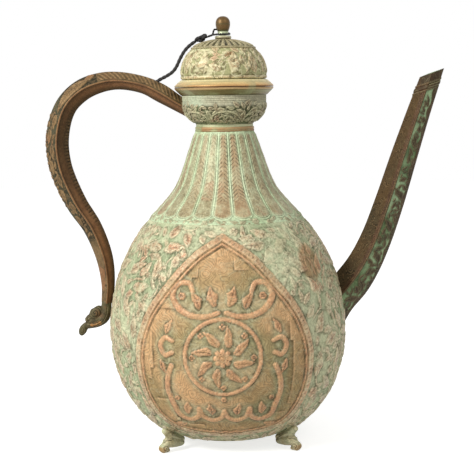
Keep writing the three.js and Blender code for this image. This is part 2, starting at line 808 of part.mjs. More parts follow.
// Lid
const sleeveInside = lidSleeveRadius - lidSleeveWall;
const rimInside = lidSleeveRadius + seatGap;
add(
  "lid_sleeve",
  turned(
    [
      point(sleeveInside, lidRimBottom - lidSleeveDepth),
      point(lidSleeveRadius, lidRimBottom - lidSleeveDepth),
      point(lidSleeveRadius, lidRimTop),
      point(sleeveInside, lidRimTop),
    ],
    lidSides,
  ),
  paleBrass(),
  lid,
);
add(
  "lid_rim",
  turned(
    [
      point(rimInside, lidRimBottom),
      point(mouthRimRadius, lidRimBottom),
      point(mouthRimRadius + 0.1, lidRimBottom + 0.8),
      point(domeFootRadius + 0.9, lidRimTop - 0.3),
      point(domeFootRadius - 0.3, lidRimTop),
      point(rimInside, lidRimTop),
    ],
    lidSides,
  ),
  paleBrass(),
  lid,
);
const domeProfile = [
  ...bend(
    point(domeFootRadius, domeBottom),
    point(domeFootRadius + 1.6, domeBottom + 4.8),
    point(domeFootRadius + 1.2, domeTop - 7.6),
    point(domeTopRadius + 1, domeTop),
    7,
  ),
  point(domeTopRadius + 1, domeTop),
];
add("lid_dome", shell(domeProfile, domeWall, lidSides), patina(), lid);
const capProfile = [
  point(capRimRadius, capBottom),
  point(capRimRadius, capBottom + capRimRise * 0.5),
  ...bend(
    point(domeTopRadius, capBottom + capRimRise),
    point(domeTopRadius - 3.6, capBottom + capRimRise + 4),
    point(capTopRadius + 7.5, capTop - 1.1),
    point(capTopRadius, capTop),
    6,
  ),
  point(capTopRadius, capTop),
  point(shankHoleRadius, capTop),
];
const capUnderside = [
  point(shankHoleRadius, capTop - capWall),
  point(capTopRadius, capTop - capWall),
  point(domeTopRadius - 8, capBottom + capRimRise + 2.8),
  point(domeTopRadius - 2.4, capBottom),
];
add("lid_cap", turned([...capProfile, ...capUnderside], lidSides), patina(), lid);
add(
  "finial_base",
  turned(
    [
      point(shankHoleRadius, finialBaseBottom),
      point(finialBaseRadius, finialBaseBottom),
      point(finialBaseRadius + 0.4, finialBaseBottom + finialBaseRise * 0.5),
      point(finialBaseRadius - 0.8, finialBaseTop),
      point(shankHoleRadius, finialBaseTop),
    ],
    finialSides,
  ),
  patina(),
  lid,
);
const washerTop = capTop - capWall - seatGap;
const knobBall = new THREE.CubicBezierCurve(
  point(stemRadius, stemTop),
  point(knobRadius + 2.1, stemTop + knobRise * 0.5),
  point(knobRadius + 0.9, stemTop + knobRise),
  point(0, stemTop + knobRise),
).getPoints(8);
add(
  "finial_knob",
  turned(
    [
      point(0, washerTop - washerRise - shankEnd),
      point(shankRadius, washerTop - washerRise - shankEnd),
      point(shankRadius, finialBaseTop + seatGap),
      point(stemRadius + 0.1, finialBaseTop + seatGap),
      point(stemRadius - 0.2, mix(finialBaseTop, stemTop, 0.6)),
      ...knobBall,
    ],
    finialSides,
  ),
  knobBrass(),
  lid,
);
add(
  "finial_washer",
  turned(
    [
      point(shankHoleRadius, washerTop - washerRise),
      point(washerRadius, washerTop - washerRise),
      point(washerRadius, washerTop),
      point(shankHoleRadius, washerTop),
    ],
    finialSides,
  ),
  paleBrass(),
  lid,
);

// Cord, its knot beside the knob, its loop round the stem and the stop knot inside the handle
add("tether_cord", cord(cordRoute, cordDiameter, 16), blackCord());
add("tether_loop", cord(loopRoute, strandDiameter, 20), blackCord());
const knot = add("tether_knot", new THREE.SphereGeometry(1, 12, 8), blackCord());
knot.scale.set(knotHalfLength, knotRadius, knotRadius);
knot.rotation.y = -knotTilt;
knot.position.copy(knotMiddle);
const stopper = add("tether_stopper", new THREE.SphereGeometry(stopperRadius, 12, 8), blackCord());
stopper.position.copy(stopperMiddle);

// The part's origin is under the middle of its box, on the table.
const box = new THREE.Box3().setFromObject(jug);
jug.position.set(-(box.min.x + box.max.x) / 2, -(box.min.y + box.max.y) / 2, -box.min.z);

const part = new THREE.Group();
part.add(jug);
export default part;
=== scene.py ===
"""A brass pouring jug with a domed lid: beaten ornament, green and brown patina, and a short black cord."""

from __future__ import annotations

import logging
import math
from dataclasses import dataclass, field
from enum import Enum
from typing import Sequence

import bmesh
import bpy
import numpy as np
from mathutils import Matrix, Vector


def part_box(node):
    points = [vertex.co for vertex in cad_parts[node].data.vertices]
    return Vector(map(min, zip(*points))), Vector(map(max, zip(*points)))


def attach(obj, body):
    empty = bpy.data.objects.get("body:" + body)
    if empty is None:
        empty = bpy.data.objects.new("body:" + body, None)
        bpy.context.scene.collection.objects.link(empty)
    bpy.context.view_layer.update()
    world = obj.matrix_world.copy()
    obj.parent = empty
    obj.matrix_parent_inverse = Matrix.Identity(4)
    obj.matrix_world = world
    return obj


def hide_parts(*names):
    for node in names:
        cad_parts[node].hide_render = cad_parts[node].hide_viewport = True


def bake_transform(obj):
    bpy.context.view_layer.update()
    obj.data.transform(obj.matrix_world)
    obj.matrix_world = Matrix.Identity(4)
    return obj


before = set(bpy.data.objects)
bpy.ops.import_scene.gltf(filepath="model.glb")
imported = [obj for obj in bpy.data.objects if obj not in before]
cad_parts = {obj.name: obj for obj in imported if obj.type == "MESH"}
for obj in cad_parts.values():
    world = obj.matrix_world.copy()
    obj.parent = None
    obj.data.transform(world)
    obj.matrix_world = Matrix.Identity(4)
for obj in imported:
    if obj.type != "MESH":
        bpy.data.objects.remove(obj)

log = logging.getLogger("jug")
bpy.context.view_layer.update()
MM = 0.001
BELLY_LOW, BELLY_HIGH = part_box("belly_lower")
AXIS_X = (BELLY_LOW.x + BELLY_HIGH.x) / 2
Pair = tuple[float, float]
Triple = tuple[float, float, float]
Grid = np.ndarray
Socket = bpy.types.NodeSocket
Piece = bpy.types.Object
Finish = bpy.types.Material
EVERYWHERE = np.s_[:, :]
CURVE_STEPS = 48
WELD = 1e-7


class Body(str, Enum):
    """The bodies that pieces ride on."""

    VESSEL = "vessel"
    TETHER = "tether_head"
    LID = "lid"


class Slot(str, Enum):
    """The record's finishes."""

    PATINA = "patina_brass"
    PALE = "pale_brass"
    DARK = "dark_brass"
    KNOB = "knob_brass"
    CORD = "black_cord"


def bezier(start: Pair, pull: Pair, push: Pair, end: Pair, steps: int = 160) -> Grid:
    """Points along one cubic stretch of an outline.

    Args:
        start: Where it starts, as (radius, height) in millimetres.
        pull: The handle that it leaves towards.
        push: The handle that it arrives from.
        end: Where it ends.
        steps: How many points it has.

    Returns:
        An array of (radius, height) rows.
    """
    t = np.linspace(0, 1, steps)[:, None]
    rest = 1 - t
    corners = [np.array(p, float) for p in (start, pull, push, end)]
    weights = [rest**3, 3 * rest**2 * t, 3 * rest * t**2, t**3]
    return sum(w * c for w, c in zip(weights, corners))


def smooth_path(points: Sequence[Sequence[float]], count: int, placed: int = 3) -> Grid:
    """Points at even distances along a smooth curve through the given ones.

    Args:
        points: The rows to pass through: a place, then anything that goes along with it.
        count: How many points come back.
        placed: How many of a row's numbers are its place.

    Returns:
        An array of rows like the given ones.
    """
    knots = np.array(points, float)
    knots = np.vstack([2 * knots[0] - knots[1], knots, 2 * knots[-1] - knots[-2]])
    dense = []
    for a, b, c, d in zip(knots, knots[1:], knots[2:], knots[3:]):
        gaps = [max(np.linalg.norm((q - p)[:placed]), 1e-9) ** 0.5 for p, q in ((a, b), (b, c), (c, d))]
        leave = (b - a) / gaps[0] - (c - a) / (gaps[0] + gaps[1]) + (c - b) / gaps[1]
        arrive = (c - b) / gaps[1] - (d - b) / (gaps[1] + gaps[2]) + (d - c) / gaps[2]
        t = np.linspace(0, 1, CURVE_STEPS, endpoint=False)[:, None]
        curve = (2 * t**3 - 3 * t**2 + 1) * b + (t**3 - 2 * t**2 + t) * gaps[1] * leave
        curve += (3 * t**2 - 2 * t**3) * c + (t**3 - t**2) * gaps[1] * arrive
        dense.append(curve)
    dense.append(knots[-2:-1])
    return evenly(np.vstack(dense), count, placed)


def run_of(points: Grid, placed: int = 3) -> Grid:
    """The distance along a line of points to each of them."""
    steps = np.linalg.norm(np.diff(points[:, :placed], axis=0), axis=1)
    return np.concatenate([[0.0], np.cumsum(steps)])


def evenly(points: Grid, count: int, placed: int = 3) -> Grid:
    """The same line of points at even distances."""
    run = run_of(points, placed)
    at = np.linspace(0, run[-1], count)
    return np.stack([np.interp(at, run, column) for column in points.T], axis=1)


def softened(values: Grid, reach: int) -> Grid:
    """A grid blurred over a few cells, joined round its columns."""
    weights = np.exp(-0.5 * (np.arange(-2 * reach, 2 * reach + 1) / reach) ** 2)
    weights /= weights.sum()
    across = sum(w * np.roll(values, k - 2 * reach, axis=1) for k, w in enumerate(weights))
    padded = np.pad(across, ((2 * reach, 2 * reach), (0, 0)), mode="edge")
    rows = values.shape[0]
    return sum(w * padded[k : k + rows] for k, w in enumerate(weights))


def ease(value: Grid, low: float, high: float) -> Grid:
    """A smooth step from 0 at low to 1 at high."""
    t = np.clip((value - low) / (high - low), 0, 1)
    return t * t * (3 - 2 * t)


def ruled(value: Grid, at: float, half: float) -> Grid:
    """A sharp line, from 0 to 1, where a value comes near a number."""
    return np.clip(1 - np.abs(value - at) / half, 0, 1)


def rounded(value: Grid, at: float, half: float) -> Grid:
    """A round bead, from 0 to 1, where a value comes near a number."""
    return np.sqrt(np.clip(1 - ((value - at) / half) ** 2, 0, 1))


def ticks(value: Grid, pitch: float, gain: float, less: float) -> Grid:
    """Ticks, from 0 to 1, once in every pitch: sharper with more gain, narrower with more taken off."""
    return np.clip(np.sin(value * 2 * math.pi / pitch) * gain - less, 0, 1)


def unit(rows: Grid) -> Grid:
    """Rows brought to a length of one."""
    return rows / np.linalg.norm(rows, axis=1)[:, None]


def linked(name: str, data: bpy.types.ID) -> Piece:
    """A new object in the scene."""
    thing = bpy.data.objects.new(name, data)
    bpy.context.scene.collection.objects.link(thing)
    return thing


def mark(mesh: bpy.types.Mesh, channels: Grid) -> None:
    """Stores on a mesh what the finishes read at each point."""
    layer = mesh.attributes.new("relief", "FLOAT_COLOR", "POINT")
    layer.data.foreach_set("color", channels.astype(np.float32).ravel())


class ChasedSkin:
    """A wall unrolled flat, on which ornament is raised and cut.

    Rows follow the wall's length and columns go once round it. A place on it is (turn, along): the share
    of a turn from the front, positive to the viewer's right, and the distance along in millimetres.

    Attributes:
        run: Distance along the wall at each row.
        girth: Distance once round the wall at each row.
        turn: The share of a turn at each column.
        lift: How far each cell stands proud of the plain wall, in millimetres.
        raised: The share of each cell that is rubbed ornament.
        cut: The share of each cell that takes the colour of lines: engraved lines, stains and other
            darkening, part of it painted shade.
        zone: The share of each cell that has the wall's second palette.
        taken: Where ornament stands already.
        crowding: How much of a leaf may lie over other ornament.
        dab_step: How far apart the dabs are that make up a stroke, in millimetres.
        rib_half: Half the breadth of a leaf's midrib.
        vein_pitch: How far apart a leaf's veins are.
        vein_depth: How deep they are, as a share of the leaf's lift.
        dished: How far a leaf's middle is pressed in, as a share of its lift.
        fine_relief: The depth at which a narrow hollow or crest counts in full, in millimetres.
        wide_hollow: The same for a wide hollow.
        wide_crest: The same for a wide crest.
    """

    crowding = 0.1
    dab_step = 0.45
    rib_half = 0.55
    vein_pitch = 2.4
    vein_depth = 0.22
    dished = 0.16
    fine_relief = 0.16
    wide_hollow = 0.5
    wide_crest = 0.6

    def __init__(self, run: Grid, girth: Grid, columns: int) -> None:
        """Starts with a plain wall."""
        self.run = run
        self.girth = girth
        self.columns = columns
        self.turn = np.arange(columns) / columns - 0.5
        shape = (len(run), columns)
        self.lift = np.zeros(shape)
        self.raised = np.zeros(shape)
        self.cut = np.zeros(shape)
        self.zone = np.zeros(shape)
        self.taken = np.zeros(shape, bool)

    def girth_at(self, along: float) -> float:
        """The distance once round the wall at a distance along it."""
        return float(np.interp(along, self.run, self.girth))

    def rub(self, share: Grid) -> None:
        """Marks the whole wall as rubbed ornament to at least a share."""
        self.raised[:] = np.maximum(self.raised, share)

    def window(self, turn: float, along: float, reach: float) -> tuple:
        """The cells near a place.

        Returns:
            The cells' index, and their distances from the place across and along, or None outside the wall.
        """
        rows = np.flatnonzero(np.abs(self.run - along) <= reach)
        if not len(rows):
            return None
        half = min(int(reach / self.girth[rows].min() * self.columns) + 1, self.columns // 2 - 1)
        columns = round((turn + 0.5) * self.columns) + np.arange(-half, half + 1)
        across = (columns / self.columns - 0.5 - turn)[None, :] * self.girth[rows][:, None]
        up = np.broadcast_to((self.run[rows] - along)[:, None], across.shape)
        return np.ix_(rows, columns % self.columns), across, up

    def press(self, cells: tuple, shape: Grid, lift: float, zone: float | None = None) -> None:
        """Raises cells to a shape from 0 to 1 and marks them as ornament."""
        self.lift[cells] = np.maximum(self.lift[cells], lift * shape)
        self.raised[cells] = np.maximum(self.raised[cells], ease(shape, 0.1, 0.55))
        if zone is not None:
            self.zone[cells] = np.where(shape > 0.1, zone, self.zone[cells])

    def engrave(self, cells: tuple, line: Grid, depth: float) -> None:
        """Cuts lines, from 0 to 1, into cells."""
        self.lift[cells] -= depth * line
        self.cut[cells] = np.maximum(self.cut[cells], line)

    def stroke(self, path: Sequence[Pair], width: Sequence[float], lift: float) -> None:
        """Raises a rounded line that swells and tapers.

        Args:
            path: Places that the line passes through.
            width: Its width at its start, middle and end, in millimetres.
            lift: How far it stands proud.
        """
        start, middle = path[0], path[len(path) // 2]
        girth = self.girth_at(middle[1])
        flat = [((turn - start[0]) * girth, along) for turn, along in path]
        length = sum(math.dist(p, q) for p, q in zip(flat, flat[1:]))
        points = smooth_path(flat, max(int(length / self.dab_step), 4), placed=2)
        for share, (across, along) in zip(np.linspace(0, 1, len(points)), points):
            radius = float(np.interp(share, (0, 0.5, 1), width)) / 2
            found = self.window(start[0] + across / girth, along, radius + 0.6)
            if found:
                cells, du, dv = found
                shape = np.sqrt(np.clip(1 - (du**2 + dv**2) / radius**2, 0, 1))
                self.press(cells, shape, lift)

    def leaf(
        self, place: Pair, aim: float, length: float, width: float, bend: float, lobes: int, lift: float
    ) -> bool:
        """Raises one leaf with a midrib and veins, unless ornament stands there already.

        Args:
            place: Where the stalk end of the leaf is.
            aim: The direction it points, in radians from straight round the wall.
            length: Its length in millimetres.
            width: Its width in millimetres.
            bend: How far its tip curves aside, as a share of its length.
            lobes: How many lobes each side has, 0 for a plain blade.
            lift: How far it stands proud.

        Returns:
            Whether it was made.
        """
        found = self.window(*place, length + 1.5)
        if not found:
            return False
        cells, across, up = found
        a = (across * math.cos(aim) + up * math.sin(aim)) / length
        b = -across * math.sin(aim) + up * math.cos(aim) - bend * length * a * np.abs(a)
        inside = np.clip(a, 0, 1)
        half = width / 2 * np.sin(math.pi * inside**0.8) ** 0.85
        phase = 9 * inside + 57 * place[0] + 3 * place[1] + 2 * np.sign(b)
        half = half * (1 + 0.14 * np.sin(phase) * bool(lobes))
        if lobes:
            notch = np.abs(np.sin(math.pi * lobes * inside)) ** 0.5 * (inside > 0.02)
            half = half * (1 - 0.3 * notch + 0.12)
        reach = (half - np.abs(b)) / (width / 2)
        reach = np.where((a > 0) & (a < 1), reach, -1)
        body = reach > 0
        if (self.taken[cells] & body).sum() > self.crowding * max(body.sum(), 1):
            return False
        self.press(cells, np.clip(reach / 0.3, 0, 1) ** 0.6, lift)
        self.lift[cells] -= self.dished * lift * ease(reach, 0.25, 0.6) * (width > 5)
        rib = ruled(b, 0, self.rib_half) * (a > 0.05) * (a < 0.86)
        veins = ticks(a * length - np.abs(b) * 1.1, self.vein_pitch, 2, 1)
        veins = veins * ease(reach, 0.08, 0.2) * (np.abs(b) > 0.6) * (width > 4)
        self.engrave(cells, np.maximum(rib, 0.6 * veins) * (reach > 0.05), self.vein_depth * lift)
        self.taken[cells] |= reach > -0.12
        return True

    def flower(self, place: Pair, radius: float, petals: int, lift: float, twist: float = 0) -> bool:
        """Raises a round flower with petals and an eye, unless ornament stands there already."""
        found = self.window(*place, radius + 1.2)
        if not found:
            return False
        cells, across, up = found
        away = np.hypot(across, up)
        angle = np.arctan2(up, across) + twist
        petal = np.abs(np.cos(petals * angle / 2))
        reach = 1 - away / (radius * (0.66 + 0.34 * petal**0.6))
        if (self.taken[cells] & (reach > 0)).sum() > 0.1 * max((reach > 0).sum(), 1):
            return False
        eye = radius * 0.26
        self.press(cells, np.clip(reach / 0.25, 0, 1) ** 0.6, lift)
        between = ruled(petal * away, 0, 0.7) * (away > eye) * (reach > 0.05)
        ring = ruled(away, eye, 0.5)
        self.engrave(cells, np.maximum(between, ring), 0.5 * lift)
        self.taken[cells] |= reach > -0.1
        return True

    def oval(self, place: Pair, size: Pair, aim: float, soft: float) -> tuple:
        """An oval's cells, and how far in it they are, 0 to 1; its aim is in degrees from straight round."""
        angle = math.radians(aim)
        cells, across, up = self.window(*place, max(size) / 2 + 0.5)
        a = (across * math.cos(angle) + up * math.sin(angle)) * 2 / size[0]
        b = (up * math.cos(angle) - across * math.sin(angle)) * 2 / size[1]
        return cells, ease(1 - np.hypot(a, b), 0, soft)

    def stain(self, place: Pair, size: Pair, aim: float, share: float = 1.0, dark: float = 0) -> None:
        """Gives an oval of the wall its second palette, dulled with the colour of its lines."""
        cells, inside = self.oval(place, size, aim, 0.35)
        self.zone[cells] = np.maximum(self.zone[cells], share * inside)
        self.cut[cells] = np.maximum(self.cut[cells], dark * inside)

    def wear(self, place: Pair, size: Pair, aim: float, share: float) -> None:
        """Rubs an oval of the ornament down."""
        cells, inside = self.oval(place, size, aim, 0.5)
        kept = 1 - share * inside
        for layer in (self.lift, self.raised, self.cut):
            layer[cells] *= kept

    def roughen(self, seed: int, amount: float, reach: int, where: Grid | float = 1.0) -> None:
        """Leaves the wall uneven over a few cells, by an amount in millimetres."""
        rough = softened(np.random.default_rng(seed).normal(size=self.lift.shape), reach)
        self.lift += amount * where * rough / rough.std()

    def channels(self) -> Grid:
        """What the finishes read at each cell: raised, hollow with painted shade, crest with painted
        highlight, and zone.
        """
        fine = softened(self.lift, 1) - self.lift
        wide = softened(self.lift, 4) - self.lift
        # hollow: dirt in the cut lines, and painted shade in the narrow and wide hollows of the relief
        hollow = np.clip(fine / self.fine_relief, 0, 1) * 0.75
        hollow = hollow + np.clip(wide / self.wide_hollow, 0, 1) * 0.5 + self.cut * 0.7
        # crest: painted highlight, with pale patina, on the crests of the relief
        crest = np.clip(-fine / self.fine_relief, 0, 1) * 0.8 + np.clip(-wide / self.wide_crest, 0, 1) * 0.4
        return np.stack([self.raised, np.clip(hollow, 0, 1), np.clip(crest, 0, 1), self.zone], axis=-1)


def mesh_object(name: str, rings: Grid, channels: Grid, closed: bool) -> Piece:
    """A mesh from rings of points, in millimetres, each joined round.

    Args:
        name: The object's name.
        rings: An array of (ring, point, xyz).
        channels: What the finishes read at each point.
        closed: Whether the last ring joins the first, or both are covered.

    Returns:
        The new object, shaded smooth.
    """
    count, around = rings.shape[:2]
    ring = np.arange(count if closed else count - 1)[:, None]
    point = np.arange(around)[None, :]
    after = (ring + 1) % count
    beside = (point + 1) % around
    near, far = ring * around, after * around
    corners = [near + point, near + beside, far + beside, far + point]
    faces = np.stack([np.broadcast_to(c, (len(ring), around)) for c in corners], axis=-1).reshape(-1, 4)
    faces = [tuple(f) for f in faces.tolist()]
    if not closed:
        faces.append(tuple(range(around - 1, -1, -1)))
        faces.append(tuple(range((count - 1) * around, count * around)))
    mesh = bpy.data.meshes.new(name)
    mesh.from_pydata((rings.reshape(-1, 3) * MM).tolist(), [], faces)
    mark(mesh, channels)
    thing = linked(name, mesh)
    work = bmesh.new()
    work.from_mesh(mesh)
    bmesh.ops.remove_doubles(work, verts=work.verts, dist=WELD)
    bmesh.ops.recalc_face_normals(work, faces=work.faces)
    work.to_mesh(mesh)
    work.free()
    mesh.shade_smooth()
    return thing


@dataclass
class Outline:
    """The outer profile of a turned wall, evenly spaced, with what it takes to unroll it.

    Attributes:
        points: Rows of (radius, height) in millimetres, from the lower end up.
        rows: How many rows the unrolled wall has.
        radius: The radius at each row.
        height: The height at each row.
        run: The distance along the wall at each row.
    """

    points: Grid
    rows: int
    radius: Grid = field(init=False)
    height: Grid = field(init=False)
    run: Grid = field(init=False)

    def __post_init__(self) -> None:
        """Works out the even rows."""
        even = evenly(self.points, self.rows, placed=2)
        self.radius, self.height = even.T
        self.run = run_of(even, placed=2)

    def skin(self, columns: int) -> ChasedSkin:
        """The unrolled wall."""
        return ChasedSkin(self.run, 2 * math.pi * np.maximum(self.radius, 0.5), columns)

    def run_at(self, height: float) -> float:
        """The distance along the wall to a height."""
        return float(np.interp(height, self.height, self.run))

    def slope(self) -> Grid:
        """The profile's direction at each row."""
        return unit(np.gradient(np.stack([self.radius, self.height], axis=1), axis=0))

    def inner_face(self, wall: float, rows: int) -> list[Pair]:
        """The inner side of a wall of some thickness, from its top down."""
        slope = self.slope()
        radius = self.radius - wall * slope[:, 1]
        height = self.height + wall * slope[:, 0]
        height[0], height[-1] = self.height[0], self.height[-1]
        picked = np.linspace(len(radius) - 1, 0, rows).round().astype(int)
        return [(float(max(radius[i], 0.2)), float(height[i])) for i in picked]

    def plain(self, name: str, columns: int, inside: Sequence[Pair] = ()) -> Piece:
        """The wall without ornament."""
        return self.turned(name, self.skin(columns), inside)

    def turned(self, name: str, skin: ChasedSkin, inside: Sequence[Pair]) -> Piece:
        """The wall with its ornament, closed through its inner face.

        Args:
            name: The object's name.
            skin: The unrolled wall.
            inside: The inner face from its top down, as (radius, height), or nothing for a full piece.
        """
        slope = self.slope()
        radius = self.radius[:, None] + skin.lift * slope[:, 1:2]
        height = self.height[:, None] - skin.lift * slope[:, 0:1]
        channels = skin.channels()
        if len(inside):
            within = np.array(inside, float)
            shape = (len(within), skin.columns)
            radius = np.vstack([radius, np.broadcast_to(within[:, 0:1], shape)])
            height = np.vstack([height, np.broadcast_to(within[:, 1:2], shape)])
            channels = np.vstack([channels, np.zeros(shape + (4,))])
        angle = 2 * math.pi * skin.turn[None, :]
        rings = np.stack([radius * np.sin(angle) + AXIS_X / MM, -radius * np.cos(angle), height], axis=-1)
        return mesh_object(name, rings, channels, bool(len(inside)))


Tone = tuple[float, float, float, float]


def tone(red: int, green: int, blue: int) -> Tone:
    """A colour as a paint chart gives it, 0 to 255, for the shader."""
    shares = [c / 255 for c in (red, green, blue)]
    linear = [c / 12.92 if c <= 0.04045 else ((c + 0.055) / 1.055) ** 2.4 for c in shares]
    return (*linear, 1.0)


class Brush:
    """Adds shader nodes to one material and wires them."""

    def __init__(self, name: str) -> None:
        """Starts an empty material with a plain surface shader."""
        self.material = bpy.data.materials.new(name)
        self.material.use_nodes = True
        self.tree = self.material.node_tree
        self.tree.nodes.clear()
        self.place = self.add("ShaderNodeTexCoord").outputs["Object"]
        self.surface = self.add("ShaderNodeBsdfPrincipled")
        end = self.add("ShaderNodeOutputMaterial")
        self.tree.links.new(self.surface.outputs["BSDF"], end.inputs["Surface"])

    def add(self, kind: str, values: dict | None = None, **settings: object) -> bpy.types.Node:
        """Adds a node.

        Args:
            kind: Its type.
            values: Its inputs by name or number, each a constant or a socket to wire in.
            **settings: Its own options.

        Returns:
            The new node.
        """
        node = self.tree.nodes.new(kind)
        for name, value in settings.items():
            setattr(node, name, value)
        for key, value in (values or {}).items():
            self.wire(node.inputs[key], value)
        return node

    def wire(self, socket: Socket, value: object) -> None:
        """Gives an input a constant or wires a socket into it."""
        if isinstance(value, Socket):
            self.tree.links.new(value, socket)
        else:
            socket.default_value = value

    def noise(self, scale: float, seed: float = 0, detail: float = 3, warp: float = 0) -> Socket:
        """Cloudy noise, with its scale per metre."""
        values = {"Vector": self.place, "W": seed, "Scale": scale, "Detail": detail, "Distortion": warp}
        return self.add("ShaderNodeTexNoise", values, noise_dimensions="4D").outputs["Fac"]

    def streaks(self, round_scale: float, up_scale: float, seed: float = 0) -> Socket:
        """Noise drawn out round the jug's axis."""
        values = {"Vector": self.place, "Scale": (round_scale, round_scale, up_scale)}
        place = self.add("ShaderNodeMapping", values).outputs[0]
        values = {"Vector": place, "W": seed, "Scale": 1.0, "Detail": 3.0}
        return self.add("ShaderNodeTexNoise", values, noise_dimensions="4D").outputs["Fac"]

    def step(self, value: Socket, low: float, high: float, bottom: float = 0, top: float = 1) -> Socket:
        """A smooth step of a value between two shares."""
        values = {"Value": value, "From Min": low, "From Max": high, "To Min": bottom, "To Max": top}
        return self.add("ShaderNodeMapRange", values, interpolation_type="SMOOTHSTEP").outputs[0]

    def math(self, operation: str, first: object, second: object = 0.0) -> Socket:
        """Arithmetic on two values."""
        return self.add("ShaderNodeMath", {0: first, 1: second}, operation=operation).outputs[0]

    def times(self, first: object, second: object) -> Socket:
        """The product of two values."""
        return self.math("MULTIPLY", first, second)

    def plus(self, first: object, second: object) -> Socket:
        """The sum of two values."""
        return self.math("ADD", first, second)

    def minus(self, first: object, second: object) -> Socket:
        """One value less another."""
        return self.math("SUBTRACT", first, second)

    def mix(self, share: object, first: object, second: object) -> Socket:
        """A blend of two colours."""
        values = {0: share, 6: first, 7: second}
        return self.add("ShaderNodeMix", values, data_type="RGBA").outputs[2]

    def dim(self, colour: Socket, share: Socket) -> Socket:
        """A colour made darker or lighter by a value round 1."""
        values = {0: 1.0, 6: colour, 7: share}
        return self.add("ShaderNodeMix", values, data_type="RGBA", blend_type="MULTIPLY").outputs[2]

    def relief(self) -> tuple[Socket, Socket, Socket, Socket]:
        """What the mesh says at each point: raised, hollow, crest and zone."""
        marks = self.add("ShaderNodeAttribute", attribute_name="relief")
        split = self.add("ShaderNodeSeparateColor", {0: marks.outputs["Color"]})
        return (*split.outputs[:3], marks.outputs["Alpha"])

    def finish(self, colour: Socket, rough: object, metal: object, height: Socket, depth: float) -> None:
        """Wires the surface's colour, roughness, metal share and bump, which is so many millimetres deep."""
        bump = self.add("ShaderNodeBump", {"Height": height, "Strength": 1.0, "Distance": depth * MM})
        values = {"Base Color": colour, "Roughness": rough, "Metallic": metal, "Normal": bump.outputs[0]}
        for name, value in values.items():
            self.wire(self.surface.inputs[name], value)


@dataclass(frozen=True)
class Palette:
    """The colours of ornament and its ground."""

    ground: Tone
    ground_deep: Tone
    raised: Tone
    raised_warm: Tone
    patch: Tone

    @classmethod
    def of(cls, *colours: tuple[int, int, int]) -> Palette:
        """A palette from colours of 0 to 255, in the order of its fields."""
        return cls(*(tone(*colour) for colour in colours))


